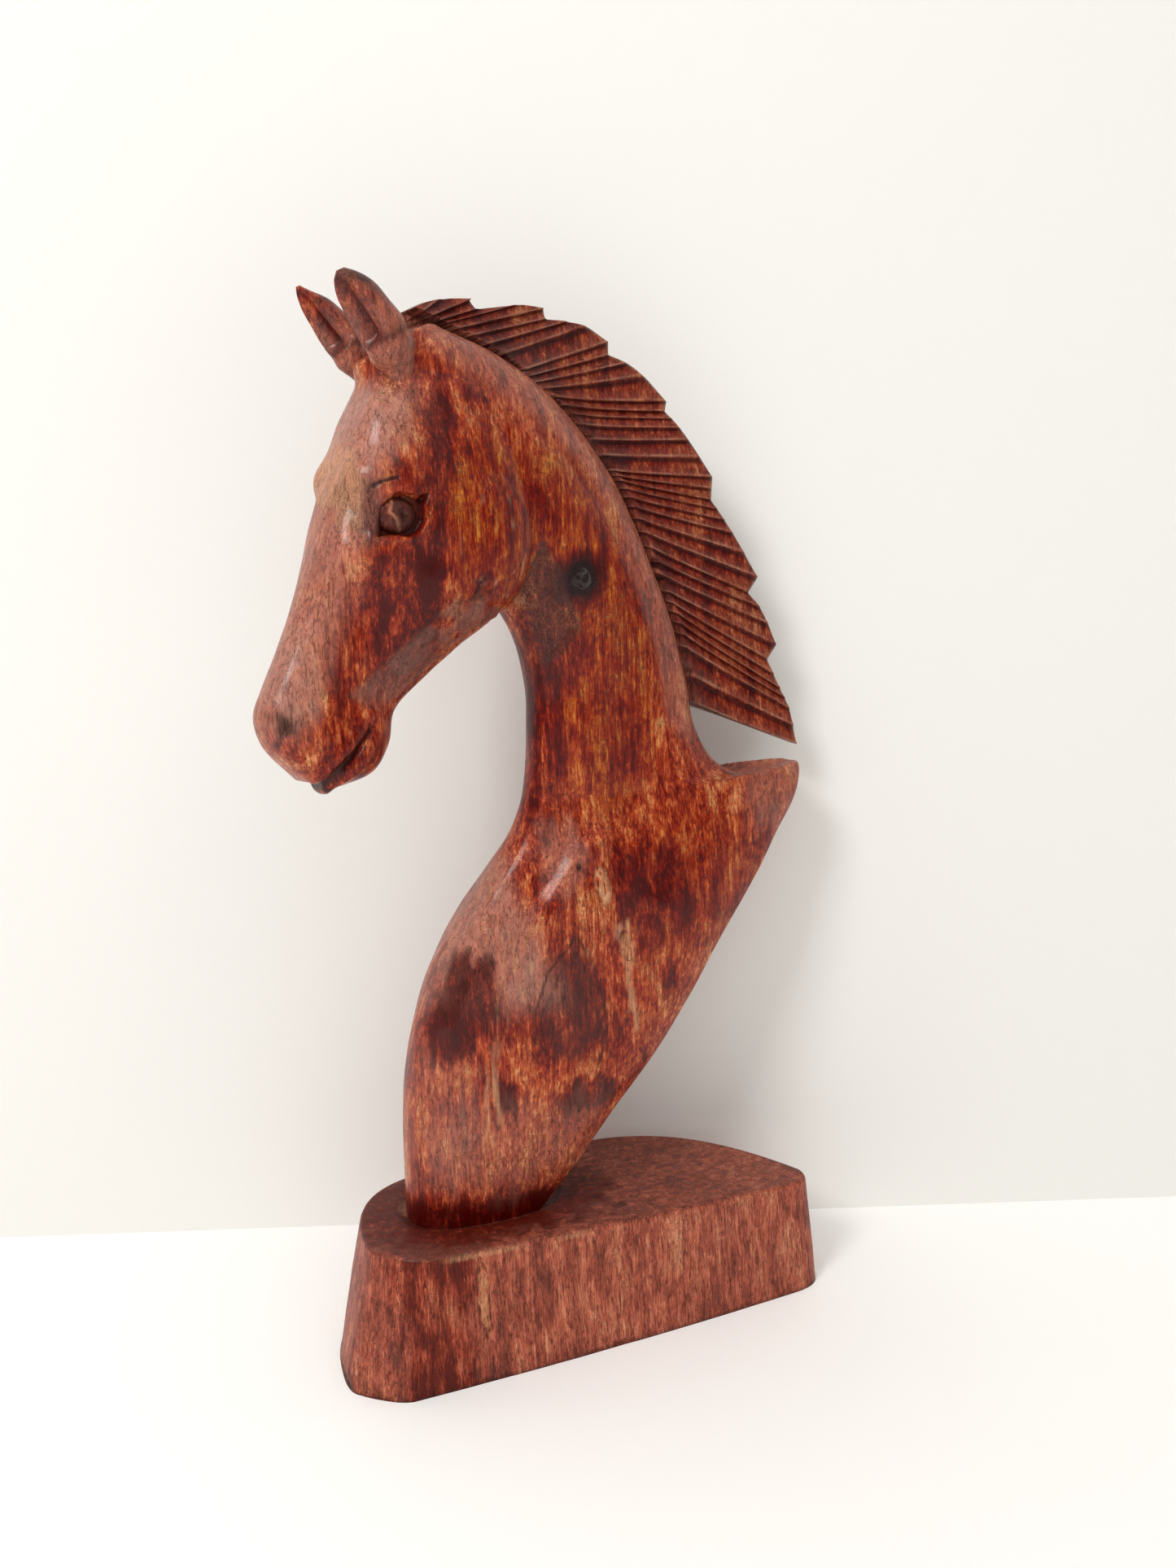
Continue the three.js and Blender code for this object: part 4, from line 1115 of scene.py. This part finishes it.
def mane_columns():
    """Rim and root of every column of the comb, with its place counted in locks."""
    rims, roots, locks, start = [], [], [], 0
    for tooth, (rim, root, count, step_count) in enumerate(MANE_TEETH):
        columns = count * MANE_COLUMNS_PER_LOCK + 1
        rims.append(curve_through(rim, columns))
        roots.append(curve_through(root, columns))
        locks.append(start + np.linspace(0, count, columns))
        start += count
        if step_count:
            columns = step_count * MANE_COLUMNS_PER_LOCK
            t = (np.arange(1, columns) / columns)[:, None]
            next_rim, next_root = MANE_TEETH[tooth + 1][:2]
            rims.append(np.array(rim[-1]) * (1 - t) + np.array(next_rim[0]) * t)
            roots.append(np.array(root[-1]) * (1 - t) + np.array(next_root[0]) * t)
            locks.append(start + t[:, 0] * step_count)
            start += step_count
    return np.vstack(rims), np.vstack(roots), np.concatenate(locks)


def outside_crest(points):
    """How far a side-view point lies outside the neck's back line, in mm."""
    back = [(s[2], s[3]) for s in NECK_STATIONS[11:]] + [(-40, 243)]
    outline = back + [(-90, 230), (-60, 100), (20, 100)]
    return -inside(np.asarray(points), outline)


def mane_block():
    """The comb before its locks are cut: its flare leaves the crest without a step."""
    rims, roots, locks = mane_columns()
    growth = rims - roots
    growth /= np.linalg.norm(growth, axis=1)[:, None]
    span = np.concatenate([[-0.3, -0.2, -0.1], np.linspace(0, 1, MANE_ROWS)])
    near_rows = []
    for r in span:
        line = roots + (rims - roots) * max(r, 0) + growth * min(r, 0) * 18
        out = outside_crest(line)
        half = MANE_RIM_HALF + MANE_FLARE * np.exp(-np.maximum(out - MANE_LEAVES_CREST, 0) / MANE_FLARE_REACH)
        half += 0.4 * np.maximum(MANE_LEAVES_CREST - out, 0)
        for k in np.flatnonzero(out < 1):
            hit = bust_skin.ray_cast(Vector((line[k, 0], -60, line[k, 1])), Vector((0, 1, 0)))[0]
            if hit is None:
                half[k] = 0.3
            else:
                under = smooth_step(MANE_LEAVES_CREST + 0.5, MANE_LEAVES_CREST - 1.5, out[k])
                half[k] = min(half[k], -hit.y + 0.3) * (1 - under) + min(half[k], -hit.y - 0.4) * under
        near_rows.append(np.column_stack([line[:, 0], -half, line[:, 1], out]))
    rings, outs = [], []
    for k in range(len(locks)):
        near = [row[k] for row in near_rows]
        tip = [(rims[k, 0] + growth[k, 0] * 0.9, 0, rims[k, 1] + growth[k, 1] * 0.9, near[-1][3])]
        far = [(x, -y, z, out) for x, y, z, out in reversed(near)]
        ring = np.array(near + tip + far)
        rings.append(ring[:, :3])
        outs.append(ring[:, 3])
    points, faces = skin(rings)
    reach = np.concatenate([span, [1.0], span[::-1]])
    lock_of = np.concatenate([np.repeat(locks, len(reach)), [locks[0], locks[-1]]])
    reach_of = np.concatenate([np.tile(reach, len(locks)), [0.5, 0.5]])
    return points, faces, lock_of, reach_of, np.concatenate(outs + [[5, 5]])


def lock_cutting_tree():
    """A node tree that presses V-tool cuts into both faces of the comb."""
    tree = bpy.data.node_groups.new("cut_locks", "GeometryNodeTree")
    face = tree.interface
    face.new_socket("Geometry", in_out="INPUT", socket_type="NodeSocketGeometry")
    for label in ("Cut Depth", "Hair Depth", "Fade From", "Fade To"):
        face.new_socket(label, in_out="INPUT", socket_type="NodeSocketFloat")
    face.new_socket("Finish", in_out="INPUT", socket_type="NodeSocketMaterial")
    face.new_socket("Geometry", in_out="OUTPUT", socket_type="NodeSocketGeometry")
    given = add_node(tree, "NodeGroupInput").outputs

    def math_of(operation, a, b=None):
        inputs = {0: a} if b is None else {0: a, 1: b}
        return add_node(tree, "ShaderNodeMath", {"operation": operation}, inputs).outputs[0]

    def value_of(label):
        return add_node(tree, "GeometryNodeInputNamedAttribute", {"data_type": "FLOAT"}, {
            "Name": label}).outputs[0]

    def ramp_up(value, low, high):
        return add_node(tree, "ShaderNodeMapRange", {"interpolation_type": "SMOOTHSTEP"}, {
            "Value": value, "From Min": low, "From Max": high}).outputs[0]

    lock = value_of("lock")
    part = math_of("FRACT", lock)
    drop = ramp_up(part, 0.0, 0.16)
    rise = math_of("SUBTRACT", 1.0, math_of("POWER", part, 1.4))
    hairs = math_of("ABSOLUTE", math_of("SINE", math_of("MULTIPLY", lock, math.pi * 3)))
    uneven = add_node(tree, "ShaderNodeTexNoise", {"noise_dimensions": "1D"}, {
        "W": math_of("FLOOR", lock), "Scale": 3.7, "Detail": 0}).outputs[0]
    main = math_of("MULTIPLY", math_of("MULTIPLY", drop, rise), math_of("ADD", uneven, 0.6))
    cut_in = math_of("ADD", math_of("MULTIPLY", main, given["Cut Depth"]),
                     math_of("MULTIPLY", math_of("MULTIPLY", hairs, drop), given["Hair Depth"]))
    fade = ramp_up(value_of("out"), given["Fade From"], given["Fade To"])
    depth_in = math_of("MULTIPLY", cut_in, fade)
    position = add_node(tree, "GeometryNodeInputPosition").outputs[0]
    where = add_node(tree, "ShaderNodeSeparateXYZ", {}, {0: position})
    to_middle = math_of("MULTIPLY", math_of("SIGN", where.outputs[1]), math_of("MULTIPLY", depth_in, -1))
    offset = add_node(tree, "ShaderNodeCombineXYZ", {}, {1: to_middle})
    moved = add_node(tree, "GeometryNodeSetPosition", {}, {
        "Geometry": given["Geometry"], "Offset": offset.outputs[0]})
    real = add_node(tree, "GeometryNodeRealizeInstances", {}, {"Geometry": moved.outputs[0]})
    dressed = add_node(tree, "GeometryNodeSetMaterial", {}, {
        "Geometry": real.outputs[0], "Material": given["Finish"]})
    add_node(tree, "NodeGroupOutput", {}, {"Geometry": dressed.outputs[0]})
    return tree


def run_tree(name, mesh, tree, settings):
    """Runs a node tree on a mesh with the given named inputs and returns the result."""
    block = bpy.data.objects.new(name, mesh)
    bpy.context.scene.collection.objects.link(block)
    modifier = block.modifiers.new("tree", "NODES")
    modifier.node_group = tree
    for item in tree.interface.items_tree:
        if item.in_out == "INPUT" and item.name in settings:
            modifier[item.identifier] = settings[item.name]
    result = bpy.data.meshes.new_from_object(block.evaluated_get(bpy.context.evaluated_depsgraph_get()))
    block.modifiers.remove(modifier)
    bpy.data.objects.remove(block)
    return result


MANE_STAIN = [(0.08, "#3c0200"), (0.3, "#5e0f04"), (0.5, "#7c2711"), (0.7, "#9c4628"), (0.95, "#c47c54")]
mane_finish = stained_wood("stained_mane_wood", MANE_STAIN, 0.1, 0.4)
points, faces, locks, reach, out = mane_block()
comb = new_mesh("comb", points, faces)
face_out(comb)
for label, values in {"lock": locks, "out": out}.items():
    comb.attributes.new(label, "FLOAT", "POINT").data.foreach_set("value", values.astype(np.float32))
mane_mesh = run_tree("comb", comb, lock_cutting_tree(), {
    "Cut Depth": 0.75, "Hair Depth": 0.08, "Fade From": -2.5, "Fade To": 3.0, "Finish": mane_finish})
points = read_points(mane_mesh)
part = locks % 1
shown = smooth_step(-1.5, 2.5, out)
brightness = 0.55 + 0.45 * lumps(points, (5, 20, 5), 42)
# painted light: the lock ridges are painted pale as highlights and the valleys under them dark as shade; the
# rising faces and the root over the crest get a painted sheen
painted_ridge_highlight = np.maximum(smooth_step(0.86, 0.99, part), smooth_step(0.03, 0.0, part)) * shown * brightness
painted_valley_shade = smooth_step(0.04, 0.14, part) * smooth_step(0.42, 0.2, part) * shown
worn_rim = smooth_step(0.96, 1.0, reach)
mane_painted_sheen = 0.8 * painted_ridge_highlight + 0.5 * smooth_step(3, -2, out) + 0.15 * smooth_step(0.4, 0.9, part)
wear_layer(mane_mesh, "haze_and_sheen", mane_painted_sheen)
wear_layer(mane_mesh, "stain", 0.45 * painted_valley_shade + 0.4 * smooth_step(14, 3, out) * shown)
wear_layer(mane_mesh, "worn", 0.3 * painted_ridge_highlight + 0.35 * worn_rim * brightness)
wear_layer(mane_mesh, "glow", 0.35 * smooth_step(26, 8, out) * shown)
wear_layer(mane_mesh, "grey", np.zeros(len(points)))
wear_layer(mane_mesh, "black_marks_and_shade", 0.45 * painted_valley_shade)
write_points(mane_mesh, place(turn_head(points)))
add_piece("mane_comb_carved", mane_mesh, mane_finish, ["mane_comb"])

# ---- the knot -------------------------------------------------------------------------------
# A dead branch knot left in the side of the neck: hard, almost black, its resin filled with
# varnish, so it glistens in a darker ring of wood.


def plug_points(skin_tree, centre, half, lean, rise, thick, seed, rings_count=26, steps=72):
    """A shallow ragged oval plug whose outer face follows the carved skin on the left side."""
    cos, sin = math.cos(math.radians(lean)), math.sin(math.radians(lean))
    angle = 2 * np.pi * np.arange(steps) / steps
    circle = np.column_stack([2 * np.cos(angle), 2 * np.sin(angle), 0 * angle])
    ragged = 1 + 0.16 * lumps(circle, (1, 1, 1), seed)
    outer = []
    for k in range(1, rings_count + 1):
        t = k / rings_count
        across, up = half[0] * t * ragged * np.cos(angle), half[1] * t * ragged * np.sin(angle)
        x = centre[0] + across * cos - up * sin
        z = centre[1] + across * sin + up * cos
        ring = []
        for px, pz in zip(x, z):
            hit = skin_tree.ray_cast(Vector((px, -60, pz)), Vector((0, 1, 0)))[0]
            ring.append((px, hit.y + 0.03 - (rise + 0.03) * (1 - t ** 6), pz))
        outer.append(np.array(ring))
    inner = [ring + (0, thick, 0) for ring in reversed(outer)]
    out_and_back = np.concatenate([np.arange(1, rings_count + 1), np.arange(rings_count, 0, -1)])
    from_centre = np.repeat(out_and_back, steps)
    return (*skin(outer + inner), np.append(from_centre / rings_count, [0, 0]))


KNOT_HALF = (3.0, 2.5)
KNOT_RISE = 0.2
PLUG_THICKNESS = 2.0
points, faces, out = plug_points(bust_skin, KNOT_CENTRE, KNOT_HALF, 0, KNOT_RISE, PLUG_THICKNESS, 50)
points[:, 1] -= 0.3 * lumps(points, (1.1, 3, 0.9), 51) * smooth_step(0.95, 0.6, out)
knot_mesh = new_mesh("neck_knot_resin", points, faces)
face_out(knot_mesh)


def resin_knot():
    """Black, resin-soaked knot wood under thick varnish: glassy, with broken highlights."""
    finish, tree, shader, mm = new_finish("varnished_knot", 0.3, 0.35, 0.06)
    shader.inputs["Specular IOR Level"].default_value = 0.25
    cell = add_node(tree, "ShaderNodeMapping", {}, {"Vector": mm, "Scale": (1 / 1.4, 1 / 1.4, 1 / 1.1)})
    grit = add_node(tree, "ShaderNodeTexNoise", {}, {"Vector": cell.outputs[0], "Scale": 1.0, "Detail": 4})
    colour = add_node(tree, "ShaderNodeMix", {"data_type": "RGBA"}, {
        0: grit.outputs["Fac"], 6: hex_colour("#0a0101"), 7: hex_colour("#2a0b08")})
    bump = add_node(tree, "ShaderNodeBump", {}, {
        "Strength": 0.7, "Distance": 0.5 * MM, "Height": grit.outputs["Fac"]})
    tree.links.new(colour.outputs[2], shader.inputs["Base Color"])
    tree.links.new(bump.outputs[0], shader.inputs["Normal"])
    return finish


write_points(knot_mesh, place(turn_head(points)))
add_piece("neck_knot_resin", knot_mesh, resin_knot(), ["neck_knot"])

# ---- the putty fills ------------------------------------------------------------------------
# Splits and holes on the left side were stopped with wood putty and stained over. The putty
# took little stain, so the fills show as paler, duller ovals with fine cracks and pits.
FILLS = [  # name, replaced node, carved skin, centre (x, z), half sizes, lean in degrees
    ("shoulder_filler_putty", "shoulder_filler", bust_skin, (0.8, 113), (2.5, 5.5), 12),
    ("flank_filler_putty", "flank_filler", bust_skin, (7, 97.6), (2.1, 4.5), 12),
    ("base_filler_putty", "base_filler", base_skin, (-35.2, 21), (1.7, 10.2), 2)]
PUTTY_RISE = 0.05
PUTTY_STAIN = [(0.08, "#5c1a0a"), (0.3, "#8f4420"), (0.5, "#b5683c"), (0.7, "#cc8a60"), (0.95, "#e3b08a")]
putty_finish = stained_wood("stained_wood_putty", PUTTY_STAIN, 0.1, 0.5)
for number, (fill_name, fill_node, skin_tree, centre, half, lean) in enumerate(FILLS):
    points, faces, out = plug_points(skin_tree, centre, half, lean, PUTTY_RISE, PLUG_THICKNESS, 60 + number)
    fill_mesh = new_mesh(fill_name, points, faces)
    face_out(fill_mesh)
    pits = smooth_step(0.35, 0.6, lumps(points, (0.9, 3, 1.3), 70 + number)) * smooth_step(1.0, 0.8, out)
    thin = smooth_step(0.55, 1.0, out + 0.2 * lumps(points, (1.2, 3, 2), 80 + number))
    points[:, 1] += 0.3 * pits * smooth_step(0.98, 0.9, out)
    wear_layer(fill_mesh, "glow", 0.3 * thin)
    wear_layer(fill_mesh, "stain", 0.75 * thin)
    wear_layer(fill_mesh, "haze_and_sheen", np.full(len(points), 0.1))
    wear_layer(fill_mesh, "grey", np.zeros(len(points)))
    wear_layer(fill_mesh, "worn", 0.35 * (1 - thin))
    wear_layer(fill_mesh, "black_marks_and_shade", 0.75 * pits)
    write_points(fill_mesh, place(turn_head(points)))
    add_piece(fill_name, fill_mesh, putty_finish, [fill_node])

# ---- table, wall and light ------------------------------------------------------------------
# A white table top against a warm white wall, lit by a window from the upper left, a broad soft
# fill and the pale room. Both sheets glow a little, as thin white paper lit from behind.
WALL_DISTANCE = 331.0
DAYLIGHT = (1.0, 0.99, 0.975)
WINDOW_WATTS = 5.8
FILL_WATTS = 3.0


def matt_paint(name, code, glow, one_sided):
    finish = bpy.data.materials.new(name)
    finish.use_nodes = True
    tree = finish.node_tree
    shader = tree.nodes["Principled BSDF"]
    shader.inputs["Base Color"].default_value = hex_colour(code)
    shader.inputs["Roughness"].default_value = 0.85
    shader.inputs["Specular IOR Level"].default_value = 0.2
    shader.inputs["Emission Color"].default_value = hex_colour(code)
    shader.inputs["Emission Strength"].default_value = glow
    if one_sided:
        clear = add_node(tree, "ShaderNodeBsdfTransparent")
        behind = add_node(tree, "ShaderNodeNewGeometry")
        mix = add_node(tree, "ShaderNodeMixShader", {}, {
            0: behind.outputs["Backfacing"], 1: shader.outputs[0], 2: clear.outputs[0]})
        tree.links.new(mix.outputs[0], tree.nodes["Material Output"].inputs["Surface"])
    return finish


def stage_sheet(name, corners, finish):
    mesh = new_mesh(name, corners, [[0, 1, 2, 3]])
    mesh.materials.append(finish)
    sheet = bpy.data.objects.new(name, mesh)
    bpy.context.scene.collection.objects.link(sheet)


def make_stage():
    wide = 3.0
    stage_sheet("table_top", [(-wide, -wide, 0), (wide, -wide, 0), (wide, wide, 0), (-wide, wide, 0)],
                matt_paint("white_table_paint", "#fbfaf8", 0.07, False))
    ahead = np.array([math.sin(CAMERA_YAW), math.cos(CAMERA_YAW)])
    along = np.array([ahead[1], -ahead[0]])
    foot = place(CAMERA_PLACE)[:2] + ahead * WALL_DISTANCE * MM
    left, right = foot - along * wide, foot + along * wide
    stage_sheet("wall", [(*left, 0), (*right, 0), (*right, 2.5), (*left, 2.5)],
                matt_paint("white_wall_paint", "#efeeea", 0.03, True))


def add_light(name, place_at, look_at, size, watts, colour, mirrored):
    data = bpy.data.lights.new(name, "AREA")
    data.shape = "SQUARE"
    data.size = size
    data.energy = watts
    data.color = colour
    light = bpy.data.objects.new(name, data)
    bpy.context.scene.collection.objects.link(light)
    light.visible_glossy = mirrored
    light.location = place_at
    light.rotation_euler = (Vector(look_at) - Vector(place_at)).to_track_quat("-Z", "Y").to_euler()


def room_light():
    """A pale room, bright overhead and dim near the floor, as the varnish mirrors it."""
    world = bpy.data.worlds.new("pale_room")
    bpy.context.scene.world = world
    world.use_nodes = True
    tree = world.node_tree
    where = add_node(tree, "ShaderNodeTexCoord")
    up = add_node(tree, "ShaderNodeSeparateXYZ", {}, {0: where.outputs["Generated"]})
    strength = add_node(tree, "ShaderNodeMapRange", {"interpolation_type": "SMOOTHSTEP"}, {
        "Value": up.outputs[2], "From Min": 0.15, "From Max": 0.9, "To Min": 0.16, "To Max": 0.8})
    sky = tree.nodes["Background"]
    sky.inputs["Color"].default_value = hex_colour("#fbfaf8")
    tree.links.new(strength.outputs[0], sky.inputs["Strength"])


make_stage()
add_light("window", (-0.75, -0.5, 0.85), (0, 0, 0.13), 0.3, WINDOW_WATTS, DAYLIGHT, True)
add_light("room", (-0.2, -1.1, 0.7), (0, 0, 0.12), 1.2, FILL_WATTS, DAYLIGHT, False)
room_light()
bpy.context.scene.view_settings.view_transform = "Standard"
